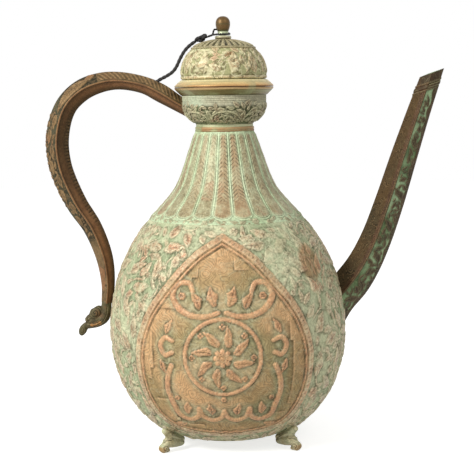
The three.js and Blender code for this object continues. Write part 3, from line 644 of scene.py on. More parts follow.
@dataclass(frozen=True)
class Patina:
    """Old brass under verdigris: rubbed ornament, green ground, pale edges with painted highlight and dark
    lines with painted shade.

    Attributes:
        name: The material's name.
        field: The colours of the wall.
        panel: The colours of the wall's second zone.
        line: The colour of dirt in the lines and of the painted shade in the hollows.
        edge: The pale colour of crests: pale patina and painted highlight.
        panel_edge: The same in the second zone, or nothing for no difference.
        patch_from: How rare the warm patches are, from 0 to 1.
        bloom: How much green creeps over the ornament, from 0 to 1.
        line_share: How dark the lines and the painted shade in the hollows get.
        edge_share: How pale the crests get with pale patina and painted highlight.
        metal: How much bare metal the ornament shows.
        hair: How deep the fine curled engraving in the second zone is, in millimetres.
        hair_tone: What lies in that engraving, or nothing for what lies in the lines.
        hair_share: How strong its colour is.
        hair_scale: How close it lies, per metre.
        gloss: How much sheen it has.
        vein: How strong the fine wandering lines are: dark lines, and pale lines of painted highlight.
        vein_scale: How close they lie, per metre.
        cloud_scale: How close the clouds in the ground lie.
        mottle_scale: The same for the mottling of the ornament.
        grain_scale: The same for the fine grain.
        patch_scale: The same for the warm patches.
        contours: How many turns of the engraving there are across its noise, times pi.
        relief: How deep the bump is, in millimetres.
    """

    name: str
    field: Palette
    panel: Palette
    line: Tone
    edge: Tone
    panel_edge: Tone | None = None
    patch_from: float = 0.6
    bloom: float = 0.5
    line_share: float = 0.8
    edge_share: float = 0.6
    metal: float = 0.35
    hair: float = 0.12
    hair_tone: Tone | None = None
    hair_share: float = 0.16
    hair_scale: float = 52
    gloss: float = 0.4
    vein: float = 0.5
    vein_scale: float = 105
    cloud_scale: float = 24
    mottle_scale: float = 110
    grain_scale: float = 620
    patch_scale: float = 38
    contours: float = 190
    relief: float = 0.25

    def material(self) -> Finish:
        """Builds the shader."""
        brush = Brush(self.name)
        raised, hollow, crest, zone = brush.relief()
        # The first wandering lines are dark; the second are pale lines of painted highlight, with a matching
        # raised bump.
        veins = []
        for seed in (3.3, 8.1):
            wander = brush.minus(brush.noise(self.vein_scale, seed, 2.5, 1.4), 0.5)
            line = brush.step(brush.math("ABSOLUTE", wander), 0.0, 0.045, self.vein, 0)
            veins.append(brush.times(line, brush.step(zone, 0, 1, 1, 0.3)))
        cloud = brush.noise(self.cloud_scale, 1.7, 3)
        mottle = brush.noise(self.mottle_scale, 4.2, 4, 0.4)
        grain = brush.noise(self.grain_scale, 7.9, 3)
        creep = brush.step(mottle, 0.5, 0.62, 0, self.bloom)
        shown = brush.times(raised, brush.minus(1.0, creep))
        patch = brush.noise(self.patch_scale, 9.3, 2, 0.6)
        patch = brush.step(patch, self.patch_from, self.patch_from + 0.07)
        coats = []
        for palette in (self.field, self.panel):
            ground = brush.mix(brush.step(cloud, 0.4, 0.62), palette.ground, palette.ground_deep)
            metal = brush.mix(brush.step(mottle, 0.36, 0.6), palette.raised_warm, palette.raised)
            metal = brush.mix(patch, metal, palette.patch)
            coats.append(brush.mix(shown, ground, metal))
        colour = brush.mix(zone, coats[0], coats[1])
        contour = brush.math("SINE", brush.times(brush.noise(self.hair_scale, 2.4, 1, 0.3), self.contours))
        hair = brush.times(brush.step(contour, 0.1, 0.9), zone)
        colour = brush.mix(brush.times(hair, self.hair_share), colour, self.hair_tone or self.line)
        # Painted highlight, mixed with pale patina, on the crests.
        pale = brush.times(crest, brush.step(grain, 0.3, 0.6, 0.35, self.edge_share))
        colour = brush.mix(pale, colour, brush.mix(zone, self.edge, self.panel_edge or self.edge))
        # Dirt in the cut lines and painted shade in the hollows.
        dark = brush.times(hollow, brush.step(mottle, 0.3, 0.66, self.line_share, 0.35 * self.line_share))
        colour = brush.mix(dark, colour, self.line)
        colour = brush.mix(veins[0], colour, self.line)
        colour = brush.mix(veins[1], colour, self.edge)
        colour = brush.dim(colour, brush.step(grain, 0.25, 0.75, 0.82, 1.16))
        rough = brush.step(shown, 0, 1, 0.74, 0.48)
        height = brush.plus(brush.times(grain, 0.6), brush.times(mottle, 0.5))
        height = brush.minus(height, brush.times(hair, self.hair / self.relief))
        height = brush.plus(height, brush.minus(veins[1], veins[0]))
        brush.wire(brush.surface.inputs["Specular IOR Level"], self.gloss)
        brush.finish(colour, rough, brush.times(shown, self.metal), height, self.relief)
        return brush.material


@dataclass(frozen=True)
class RuledBrass:
    """Turned brass with bands that follow its height.

    Attributes:
        name: The material's name.
        bands: (height in millimetres, colour), from the lowest up.
        stain: The colour of the streaks.
        stain_share: How strong the streaks are.
        metal: How much bare metal shows.
        rough: The roughness.
        wobble: How far the bands waver, in metres.
        streak_scale: How close the streaks lie round the axis and along it, per metre.
        rule_scale: The same for the fine ruled lines.
        relief: How deep the bump is, in millimetres.
    """

    name: str
    bands: tuple[tuple[float, Tone], ...]
    stain: Tone
    stain_share: float = 0.5
    metal: float = 0.45
    rough: float = 0.42
    wobble: float = 0.0012
    streak_scale: Pair = (26, 700)
    rule_scale: Pair = (18, 2600)
    relief: float = 0.08

    def material(self) -> Finish:
        """Builds the shader."""
        brush = Brush(self.name)
        height = brush.add("ShaderNodeSeparateXYZ", {0: brush.place}).outputs[2]
        wobble = brush.times(brush.minus(brush.noise(60, 3.1), 0.5), self.wobble)
        height = brush.plus(height, wobble)
        colour = brush.mix(0.0, self.bands[0][1], self.bands[0][1])
        for (below, _), (above, shade) in zip(self.bands, self.bands[1:]):
            share = brush.step(height, below * MM, above * MM)
            colour = brush.mix(share, colour, shade)
        streak = brush.step(brush.streaks(*self.streak_scale, 5.5), 0.5, 0.68, 0, self.stain_share)
        colour = brush.mix(streak, colour, self.stain)
        blot = brush.step(brush.noise(70, 8.8, 3, 0.5), 0.52, 0.66, 0, self.stain_share)
        colour = brush.mix(blot, colour, self.stain)
        grain = brush.noise(700, 1.2, 2)
        colour = brush.dim(colour, brush.step(grain, 0.25, 0.75, 0.9, 1.08))
        ruled = brush.streaks(*self.rule_scale, 2.2)
        brush.finish(colour, self.rough, self.metal, brush.plus(grain, ruled), self.relief)
        return brush.material


@dataclass(frozen=True)
class RubbedMetal:
    """Plain handled brass, brown where hands keep it clean and darker beside.

    Attributes:
        name: The material's name.
        bright: Its rubbed colour.
        dull: Its dull colour.
        tarnish: The green in its blots.
        tarnish_from: How rare the blots are, from 0 to 1.
        rough: The roughness.
        metal: How much bare metal shows.
    """

    name: str
    bright: Tone
    dull: Tone
    tarnish: Tone
    tarnish_from: float = 0.6
    rough: float = 0.34
    metal: float = 0.7

    def material(self) -> Finish:
        """Builds the shader."""
        brush = Brush(self.name)
        colour = brush.mix(brush.step(brush.noise(130, 2.0, 3), 0.38, 0.62), self.bright, self.dull)
        blot = brush.step(brush.noise(90, 6.1, 4, 0.5), self.tarnish_from, self.tarnish_from + 0.1)
        colour = brush.mix(blot, colour, self.tarnish)
        grain = brush.noise(900, 3.3, 3)
        colour = brush.dim(colour, brush.step(grain, 0.25, 0.75, 0.88, 1.1))
        rough = brush.step(grain, 0.2, 0.8, self.rough - 0.06, self.rough + 0.12)
        brush.finish(colour, rough, self.metal, grain, 0.06)
        return brush.material


@dataclass(frozen=True)
class BlackCord:
    """Waxed black cord, dusty on its ridges."""

    name: str = "waxed_black_cord"
    black: Tone = tone(27, 25, 24)
    dust: Tone = tone(70, 64, 58)

    def material(self) -> Finish:
        """Builds the shader."""
        brush = Brush(self.name)
        raised = brush.relief()[0]
        fibre = brush.noise(2600, 1.4, 4, 1.5)
        share = brush.times(raised, brush.step(fibre, 0.45, 0.7, 0, 0.6))
        colour = brush.mix(share, self.black, self.dust)
        brush.finish(colour, 0.78, 0.0, fibre, 0.12)
        return brush.material


@dataclass
class Studio:
    """A pale floor, soft lamps and the camera.

    Attributes:
        distance: From the jug's axis to the camera, in millimetres.
        eye: The camera's height.
        pitch: How far it looks down, in degrees.
        axis_pixel: Where the jug's axis falls across the picture.
        roll: How far the picture leans, in degrees.
        focal: The focal length in pixels.
        frame_width: The picture's width in pixels.
        sensor: The width of the camera's sensor.
        floor_radius: In metres.
        floor_drop: How far the floor lies under the feet, in millimetres.
        floor_glow: How much the floor shines by itself where it is looked at.
        sky: How bright the surroundings are for the jug and where they are looked at.
        paper: The floor's colour.
    """

    distance: float = 1020
    eye: float = 276.9
    pitch: float = 6.36
    axis_pixel: float = 226.5
    roll: float = 0.95
    focal: float = 1274
    frame_width: float = 474
    sensor: float = 36
    floor_radius: float = 3.0
    floor_drop: float = 0.2
    floor_glow: float = 0.72
    sky: Pair = (0.45, 1.0)
    paper: Tone = tone(200, 200, 198)

    def camera(self) -> None:
        """Stands the camera in front of the jug."""
        data = bpy.data.cameras.new("camera")
        data.sensor_width = self.sensor
        data.lens = self.focal / self.frame_width * self.sensor
        camera = linked("camera", data)
        aside = math.atan((self.frame_width / 2 - self.axis_pixel) / self.focal)
        turn = Matrix.Rotation(-aside, 4, "Z") @ Matrix.Rotation(math.radians(90 - self.pitch), 4, "X")
        place = Matrix.Translation((AXIS_X, -self.distance * MM, self.eye * MM))
        camera.matrix_world = place @ turn @ Matrix.Rotation(math.radians(-self.roll), 4, "Z")
        bpy.context.scene.camera = camera

    def lamp(self, name: str, place: Vector, size: float, power: float) -> None:
        """Hangs one square lamp that faces the jug."""
        data = bpy.data.lights.new(name, "AREA")
        data.size = size
        data.energy = power
        lamp = linked(name, data)
        aim = Vector((AXIS_X, 0, 0.16)) - place
        lamp.matrix_world = Matrix.Translation(place) @ aim.to_track_quat("-Z", "Y").to_matrix().to_4x4()

    def seen(self, tree: bpy.types.NodeTree) -> Socket:
        """1 for what the camera, a gloss or a clear surface sees straight on, 0 for light."""
        path = tree.nodes.new("ShaderNodeLightPath")
        total = path.outputs["Is Camera Ray"]
        for name in ("Is Glossy Ray", "Is Transmission Ray"):
            larger = tree.nodes.new("ShaderNodeMath")
            larger.operation = "MAXIMUM"
            tree.links.new(total, larger.inputs[0])
            tree.links.new(path.outputs[name], larger.inputs[1])
            total = larger.outputs[0]
        return total

    def floor(self) -> None:
        """Lays a round pale floor that keeps the jug's soft shadow."""
        work = bmesh.new()
        bmesh.ops.create_circle(work, cap_ends=True, segments=96, radius=self.floor_radius)
        mesh = bpy.data.meshes.new("floor")
        work.to_mesh(mesh)
        work.free()
        floor = linked("floor", mesh)
        floor.location.z = -self.floor_drop * MM
        brush = Brush("floor_paper")
        brush.finish(brush.mix(brush.noise(3), self.paper, self.paper), 0.9, 0.0, brush.noise(400), 0.01)
        glow = brush.add("ShaderNodeEmission", {"Color": (1, 1, 1, 1)})
        share = self.seen(brush.tree)
        brush.wire(glow.inputs["Strength"], brush.times(share, self.floor_glow))
        both = brush.add("ShaderNodeAddShader", {0: brush.surface.outputs[0], 1: glow.outputs[0]})
        end = next(n for n in brush.tree.nodes if n.bl_idname == "ShaderNodeOutputMaterial")
        brush.wire(end.inputs["Surface"], both.outputs[0])
        mesh.materials.append(brush.material)

    def surroundings(self) -> None:
        """Lights everything evenly, and shows white behind the jug."""
        world = bpy.data.worlds.new("studio")
        bpy.context.scene.world = world
        world.use_nodes = True
        tree = world.node_tree
        tree.nodes.clear()
        strength = tree.nodes.new("ShaderNodeMapRange")
        strength.inputs["To Min"].default_value, strength.inputs["To Max"].default_value = self.sky
        tree.links.new(self.seen(tree), strength.inputs["Value"])
        background = tree.nodes.new("ShaderNodeBackground")
        background.inputs["Color"].default_value = (1, 1, 1, 1)
        tree.links.new(strength.outputs[0], background.inputs["Strength"])
        end = tree.nodes.new("ShaderNodeOutputWorld")
        tree.links.new(background.outputs[0], end.inputs["Surface"])

    def build(self) -> None:
        """Builds the studio."""
        self.camera()
        self.floor()
        self.surroundings()
        self.lamp("key_lamp", Vector((-1.15, -0.95, 1.05)), 0.5, 25.5)
        self.lamp("fill_lamp", Vector((0.85, -0.95, 1.25)), 1.0, 5.5)
        bpy.context.scene.view_settings.view_transform = "Standard"


def settle(thing: Piece, body: Body | None, slot: Slot, finish: Finish, *nodes: str) -> None:
    """Dresses a piece and puts it in the place of its solids.

    Args:
        thing: The piece.
        body: What it moves with, or nothing to leave it unattached.
        slot: The record's finish meant for it; not used.
        finish: Its material.
        *nodes: The solids that it stands for.
    """
    thing.data.materials.clear()
    thing.data.materials.append(finish)
    if body:
        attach(thing, body.value)
    if nodes:
        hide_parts(*nodes)
    log.info("%s: %d points", thing.name, len(thing.data.vertices))


FIELD = Palette.of((198, 201, 162), (158, 170, 130), (198, 172, 138), (178, 148, 114), (188, 138, 104))
PANEL = Palette.of((208, 166, 118), (166, 142, 96), (190, 140, 98), (168, 116, 80), (202, 156, 112))
BODY_PATINA = Patina(
    "body_patina", FIELD, PANEL, tone(70, 62, 34), tone(220, 216, 178), panel_edge=tone(226, 180, 134),
    patch_from=0.57, line_share=0.95, edge_share=0.55, metal=0.2, hair_share=0.34, vein=0.42,
    vein_scale=74,
)


@dataclass
class Foliage:
    """Stems, leaves and flowers that fill a wall from large to small.

    Attributes:
        seed: Starts the random draws.
        tries: How many places are tried.
        long: The longest leaf, in millimetres.
        short: The shortest leaf.
        lift: How far the leaves stand proud.
        stride: A fifth of the length of the curling ridges.
    """

    seed: int
    tries: int
    long: float = 13
    short: float = 4.5
    lift: float = 1.0
    stride: float = 2.1

    def swirl(self, turn: float, along: float) -> float:
        """The direction that stems follow at a place, in radians."""
        round_angle = 2 * math.pi * turn
        wave = 1.3 * math.sin(5 * round_angle + along / 15) + 0.9 * math.cos(3 * round_angle - along / 22)
        return math.pi / 2 + wave

    def lattice(self, skin: ChasedSkin, rows: Sequence[float], columns: int, size: Pair) -> None:
        """Sets the main leaves in staggered rows at the given distances along a wall."""
        draw = np.random.default_rng(self.seed + 2)
        for number, along in enumerate(rows):
            for column in range(number % 2, columns, 2):
                turn = column / columns - 0.5
                aim = self.swirl(turn, along) + draw.uniform(-0.6, 0.6)
                girth = skin.girth_at(along)
                start = (turn - size[0] / 2 * math.cos(aim) / girth, along - size[0] / 2 * math.sin(aim))
                bend = draw.choice([-1, 1]) * draw.uniform(0.1, 0.4)
                skin.leaf(start, aim, *size, bend, int(draw.integers(1, 4)), self.lift * 1.15)

    def tendrils(self, skin: ChasedSkin, low: float, high: float, tries: int) -> None:
        """Lays thin curling ridges over what is still bare."""
        draw = np.random.default_rng(self.seed + 1)
        for _ in range(tries):
            path = [(draw.uniform(-0.5, 0.5), draw.uniform(low, high))]
            girth = skin.girth_at(path[0][1])
            aim = self.swirl(*path[0]) + draw.uniform(-0.9, 0.9)
            curl = draw.choice([-1, 1]) * draw.uniform(0.08, 0.4)
            for _ in range(5):
                turn, along = path[-1]
                aside = self.stride * math.cos(aim) / girth
                path.append((turn + aside, along + self.stride * math.sin(aim)))
                aim += curl
            if all(low < along < high for _, along in path) and not self.blocked(skin, path):
                skin.stroke(path, (0.8, 0.6 * self.stride, 0.7), self.lift * 0.7)

    def fill(self, skin: ChasedSkin, low: float, high: float, turns: Pair = (-0.5, 0.5)) -> None:
        """Scatters the foliage between two distances along a wall."""
        draw = np.random.default_rng(self.seed)
        for number in range(self.tries):
            share = number / self.tries
            length = (self.long + (self.short - self.long) * share**0.7) * draw.uniform(0.85, 1.15)
            place = (draw.uniform(*turns), draw.uniform(low, high))
            aim = self.swirl(*place) + draw.uniform(-0.7, 0.7)
            bend = draw.choice([-1, 1]) * draw.uniform(0.1, 0.45)
            kind = draw.random()
            if kind < 0.1 and length > 6:
                skin.flower(place, length * 0.42, int(draw.integers(5, 8)), self.lift, draw.uniform(0, 6))
                continue
            lobes = int(draw.integers(0, 4)) if length > 5 else 0
            if skin.leaf(place, aim, length, length * draw.uniform(0.46, 0.74), bend, lobes, self.lift):
                self.stalk(skin, place, aim, length, bend)

    def stalk(self, skin: ChasedSkin, place: Pair, aim: float, length: float, bend: float) -> None:
        """Draws the curved stalk behind a leaf."""
        girth = skin.girth_at(place[1])
        path = []
        for back in (0.95, 0.65, 0.3, -0.15):
            angle = aim + bend * 2.2 * back
            out = back * length
            path.append((place[0] - out * math.cos(angle) / girth, place[1] - out * math.sin(angle)))
        low, high = skin.run[0] + 1, skin.run[-1] - 1
        if all(low < along < high for _, along in path) and not self.blocked(skin, path):
            skin.stroke(path, (0.9, 1.3, 1.5), self.lift * 0.6)

    def blocked(self, skin: ChasedSkin, path: Sequence[Pair]) -> bool:
        """Whether a stalk would run over ornament."""
        for turn, along in path[:4]:
            row = int(np.argmin(np.abs(skin.run - along)))
            column = round((turn + 0.5) * skin.columns) % skin.columns
            if skin.taken[row, column]:
                return True
        return False


@dataclass
class PointedPanel:
    """The pointed panel on a broad side: a ticked border, a thin ridge and an arabesque round a ring.

    Attributes:
        middle: Where its middle is, as a share of a turn.
        edge: Half its breadth in degrees at distances along the wall.
        band: The border's width in millimetres.
        ridge_at: Where the thin ridge's middle is, inside the edge.
        ring_at: The height along the wall of the ring's middle.
        ring_radius: The ring's radius.
        scrolls: The strokes of the right half as (across, along) from the middle, each with its widths.
        sprigs: Leaves of the right half: where, aimed in degrees, their size and bend.
        blossoms: Flowers of the right half and the middle: where, and their radius.
        ring_width: How broad the ring is.
        ring_leaves: How many leaves turn inside the ring.
        leaves_from: How far from the ring's middle they start.
        buds_at: How far from it the buds between their tips are.
        green: How far the ground close to the ornament takes the wall's colours.
        sunk: How far the middle lies behind the wall, in millimetres.
        widest: The body's radius at the ring, by which the ornament is drawn.
    """

    middle: float
    edge: tuple[Pair, ...] = (
        (0, 23), (14, 24.4), (28, 28.2), (37.5, 34.5), (42.5, 44), (45.2, 57), (46.4, 72), (46.4, 88),
        (45.4, 103), (42.9, 118), (39.6, 131), (35.2, 143), (30.2, 154), (24.6, 166), (15.6, 181),
        (0, 197),
    )
    band: float = 5.6
    ridge_at: float = 7.6
    ring_at: float = 99.9
    ring_radius: float = 29.2
    scrolls: tuple[tuple[tuple[Pair, ...], Triple], ...] = (
        (
            ((3, 134), (13, 131), (25, 132), (36, 138), (41, 147), (37, 155), (28, 156), (24, 150)),
            (3.8, 5.4, 4.0),
        ),
        (((39, 112), (46, 114), (50, 108), (46, 101), (40, 103)), (3.4, 4.8, 3.8)),
        (((41, 93), (45, 84), (47, 72), (45, 60), (42, 49), (33, 45), (24, 49), (22, 57)), (4.4, 5.4, 4.2)),
        (((22, 57), (19, 48.5), (11, 45), (3, 48), (0, 55)), (4.2, 4.8, 3.6)),
    )
    sprigs: tuple[tuple[Pair, float, Pair, float], ...] = (
        ((5, 138.5), 62, (16, 9), 0.2), ((18, 136.5), 78, (15, 8), -0.25),
        ((33, 51), 86, (12, 7.6), 0.2), ((11, 51), 92, (11, 7), -0.2),
        ((45, 117), 100, (12, 6.5), 0.25), ((50, 97), -96, (12, 6), -0.25),
        ((38, 40.5), -20, (10, 5.4), 0.3), ((29, 160), 66, (11, 5.6), 0.3),
    )
    blossoms: tuple[tuple[Pair, float], ...] = (
        ((0, 145), 4.6), ((0, 66), 2.6), ((33, 146), 3.2), ((34, 57), 2.2), ((40, 66), 2.4),
    )
    ring_width: float = 3.4
    ring_leaves: int = 8
    leaves_from: float = 8.6
    buds_at: float = 23.6
    green: float = 0.52
    sunk: float = 0.8
    widest: float = 94.8

    def place(self, across: float, along: float) -> Pair:
        """A place on the wall from millimetres across the panel and along the wall."""
        return (self.middle + across / (2 * math.pi * self.widest), along)

    def signed(self, skin: ChasedSkin) -> tuple[tuple, Grid, Grid]:
        """How far cells are inside the edge, and how far round the edge their nearest point is.

        Returns:
            The cells, the distances inside (negative outside) and the distances along the edge.
        """
        right = np.array([self.place(math.radians(d) * self.widest, s) for d, s in self.edge])
        left = right * (-1, 1) + (2 * self.middle, 0)
        line = np.vstack([smooth_path(right, 260, placed=2), smooth_path(left, 260, placed=2)[::-1]])
        girth = np.interp(line[:, 1], skin.run, skin.girth)
        run = run_of(np.stack([line[:, 0] * girth, line[:, 1]], axis=1), placed=2)
        rows = np.flatnonzero((skin.run > 15) & (skin.run < 206))
        span = int(0.16 * skin.columns)
        columns = round((self.middle + 0.5) * skin.columns) + np.arange(-span, span + 1)
        turns = columns / skin.columns - 0.5
        half = np.interp(skin.run[rows], line[:260, 1], line[:260, 0] - self.middle, left=0, right=0)
        away = np.empty((len(rows), len(columns)))
        near = np.empty_like(away)
        for i, row in enumerate(rows):
            across = (turns[:, None] - line[None, :, 0]) * skin.girth[row]
            apart = np.hypot(across, skin.run[row] - line[None, :, 1])
            nearest = apart.argmin(axis=1)
            away[i] = apart[np.arange(len(columns)), nearest]
            near[i] = run[nearest]
        inside = np.abs(turns[None, :] - self.middle) < half[:, None]
        return np.ix_(rows, columns % skin.columns), np.where(inside, away, -away), near

    def border(self, skin: ChasedSkin) -> None:
        """Raises the ticked band and the thin ridge, with engraved lines beside them."""
        cells, inside, along = self.signed(skin)
        skin.zone[cells] = np.maximum(skin.zone[cells], ease(inside, -0.4, 0.2))
        skin.taken[cells] |= inside > -1.6
        band = np.clip(np.minimum(inside, self.band - inside) / 0.8, 0, 1) ** 0.6
        skin.press(cells, band, 0.75)
        skin.zone[cells] -= band * (0.4 + 0.3 * ease(skin.run[:, None] + 0 * skin.turn, 150, 60)[cells])
        ridge = rounded(inside, self.ridge_at, 1.0)
        skin.press(cells, ridge, 0.8)
        tick = ticks(along, 3.7, 2.4, 1.4) * (np.abs(inside - self.band / 2) < 1.5)
        skin.engrave(cells, 0.7 * tick, 0.22)
        for at, width in ((-0.5, 0.7), (self.band + 0.4, 0.8), (self.ridge_at + 1.6, 1.1)):
            skin.engrave(cells, np.clip(1.4 - 1.4 * np.abs(inside - at) / width, 0, 1), 0.35)

    def mirrored(self, skin: ChasedSkin, path: Sequence[Pair], width: Sequence[float], lift: float) -> None:
        """Raises a stroke on both halves of the panel."""
        for side in (1, -1):
            skin.stroke([self.place(side * across, along) for across, along in path], width, lift)

    def leaves(self, skin: ChasedSkin, at: Pair, aim: float, size: Pair, bend: float) -> None:
        """Raises a leaf on both halves of the panel, aimed in degrees from straight right."""
        angle = math.radians(aim)
        for side, direction in ((1, angle), (-1, math.pi - angle)):
            skin.leaf(self.place(side * at[0], at[1]), direction, *size, side * bend, 2, 1.3)

    def round_ring(self, reach: float, angle: float) -> Pair:
        """A place at a distance and an angle from the ring's middle."""
        return self.place(reach * math.cos(angle), self.ring_at + reach * math.sin(angle))

    def medallion(self, skin: ChasedSkin) -> None:
        """Raises the ring, and a flower with turning leaves in it."""
        ring = [self.round_ring(self.ring_radius, angle) for angle in np.linspace(0, 2 * math.pi, 41)]
        skin.stroke(ring, (self.ring_width,) * 3, 1.2)
        skin.flower(self.place(0, self.ring_at), 7.6, self.ring_leaves, 1.3)
        for k in range(self.ring_leaves):
            angle = (2 * k + 1) * math.pi / self.ring_leaves
            skin.leaf(self.round_ring(self.leaves_from, angle), angle, 15.6, 8.6, 0.4, 1, 1.2)
            skin.flower(self.round_ring(self.buds_at, angle + math.pi / self.ring_leaves), 2.6, 4, 1.0)

    def arabesque(self, skin: ChasedSkin) -> None:
        """Raises the scrolls round the ring, alike on both halves."""
        for path, width in self.scrolls:
            self.mirrored(skin, path, width, 1.25)
        for at, aim, size, bend in self.sprigs:
            self.leaves(skin, at, aim, size, bend)
        for at, radius in self.blossoms:
            for side in (1, -1) if at[0] else (1,):
                skin.flower(self.place(side * at[0], at[1]), radius, 6, 1.2)

    def press(self, skin: ChasedSkin) -> None:
        """Raises the whole panel, greener close to its ornament, with painted shade round the ornament's
        foot.
        """
        self.border(skin)
        cells, inside, _ = self.signed(skin)
        plain = skin.raised.copy()
        skin.taken[cells] &= inside < self.ridge_at + 1
        self.medallion(skin)
        self.arabesque(skin)
        skin.taken[cells] |= inside > -1.6
        skin.lift[cells] -= self.sunk * ease(inside, self.ridge_at + 1, self.ridge_at + 10)
        rest = 1 - skin.raised[cells]
        ornament = skin.raised - plain
        # A dark outline on the ground round the ornament: dirt in the crease and painted shade at its foot.
        outline = np.clip(softened(ornament, 1)[cells] * 2.4, 0, 1) * rest * (inside > self.ridge_at + 1.4)
        skin.cut[cells] = np.maximum(skin.cut[cells], 0.85 * outline)
        within = inside > self.ridge_at
        near = ease(softened(ornament, 5)[cells], 0.02, 0.42) * within
        skin.zone[cells] = np.where(within, 1 - self.green * near * rest, skin.zone[cells])


@dataclass
class Belly:
    """The round body, from its base to the seam with the neck.

    Attributes:
        lower: The profile's lower stretch, as bezier takes it.
        upper: Its upper stretch.
        seam_cover: Where it ends, just under the neck.
        panel_turn: Where the front panel's middle is, as a share of a turn.
        sink: How far the ground lies inside the profile, in millimetres.
        base_lines: The distances along the wall of the engraved rings at the base.
        worn: The rubbed oval: (turn, height), size, aim in degrees and share.
        stained: The brown oval, told in the same way.
    """

    lower: tuple[Pair, ...] = ((41.5, 7.9), (55.5, 5.3), (94.8, 33), (94.8, 90))
    upper: tuple[Pair, ...] = ((94.8, 90), (94.8, 113.1), (88.3, 149), (61.9, 179))
    seam_cover: Pair = (61.75, 179.3)
    wall: float = 1.8
    rows: int = 262
    columns: int = 720
    panel_turn: float = -2.7 / 360
    sink: float = 0.35
    base_lines: tuple[float, ...] = (4.5, 6.5, 9.5)
    worn: tuple[Pair, Pair, float, float] = ((0.09, 158), (66, 46), 60, 0.6)
    stained: tuple[Pair, Pair, float, float] = ((0.142, 149), (38, 26), 75, 0.85)

    def leaf_rows(self, outline: Outline) -> list[float]:
        """The distances along the wall of the main leaves' rows."""
        rows = [bezier(*self.lower, steps=9)[k] for k in range(3, 8)]
        rows += [bezier(*self.upper, steps=7)[k] for k in range(0, 6)]
        return [outline.run_at(height) for _, height in rows]

    def outline(self) -> Outline:
        """The body's profile."""
        points = np.vstack([bezier(*self.lower), bezier(*self.upper)[1:], [self.seam_cover]])
        return Outline(points, self.rows)

    def build(self, finish: Finish) -> Outline:
        """Builds the body and returns its profile, which the limbs end on."""
        outline = self.outline()
        skin = outline.skin(self.columns)
        for turn in (self.panel_turn, self.panel_turn + 0.5):
            PointedPanel(turn).press(skin)
        leaves = Foliage(seed=11, tries=3000, long=14, short=5.4, lift=0.8, stride=3.1)
        skin.crowding = 0.14
        skin.taken[skin.run > skin.run[-1] - 1.6] = True
        leaves.lattice(skin, self.leaf_rows(outline), 44, (19, 10.5))
        leaves.fill(skin, 12, outline.run[-1] - 0.6)
        leaves.tendrils(skin, 11, outline.run[-1] - 0.6, 3600)
        base = skin.run[:, None] + 0 * skin.turn
        for at in self.base_lines:
            skin.engrave(EVERYWHERE, ruled(base, at, 0.7), 0.3)
        (turn, height), *oval = self.worn
        skin.wear((turn, outline.run_at(height)), *oval)
        (turn, height), *oval = self.stained
        skin.stain((turn, outline.run_at(height)), *oval, dark=0.6)
        self.dent(skin)
        field = 1 - 0.55 * skin.zone
        skin.roughen(3, 0.045, 1, field)
        skin.roughen(4, 0.12, 3, field)
        skin.lift -= self.sink
        skin.lift *= 1 - 0.9 * ease(base, skin.run[-1] - 3.5, skin.run[-1])
        inside = outline.inner_face(self.wall, 14)
        belly = outline.turned("belly", skin, inside)
        settle(belly, Body.VESSEL, Slot.PATINA, finish, "belly_lower", "belly_upper")
        return outline

    def dent(self, skin: ChasedSkin) -> None:
        """Leaves the wall a little uneven, as hammered work is."""
        angle = 2 * math.pi * skin.turn[None, :]
        run = skin.run[:, None]
        skin.lift += 0.12 * np.sin(7 * angle + run / 17) * np.sin(run / 11 + 2 * np.cos(2 * angle))


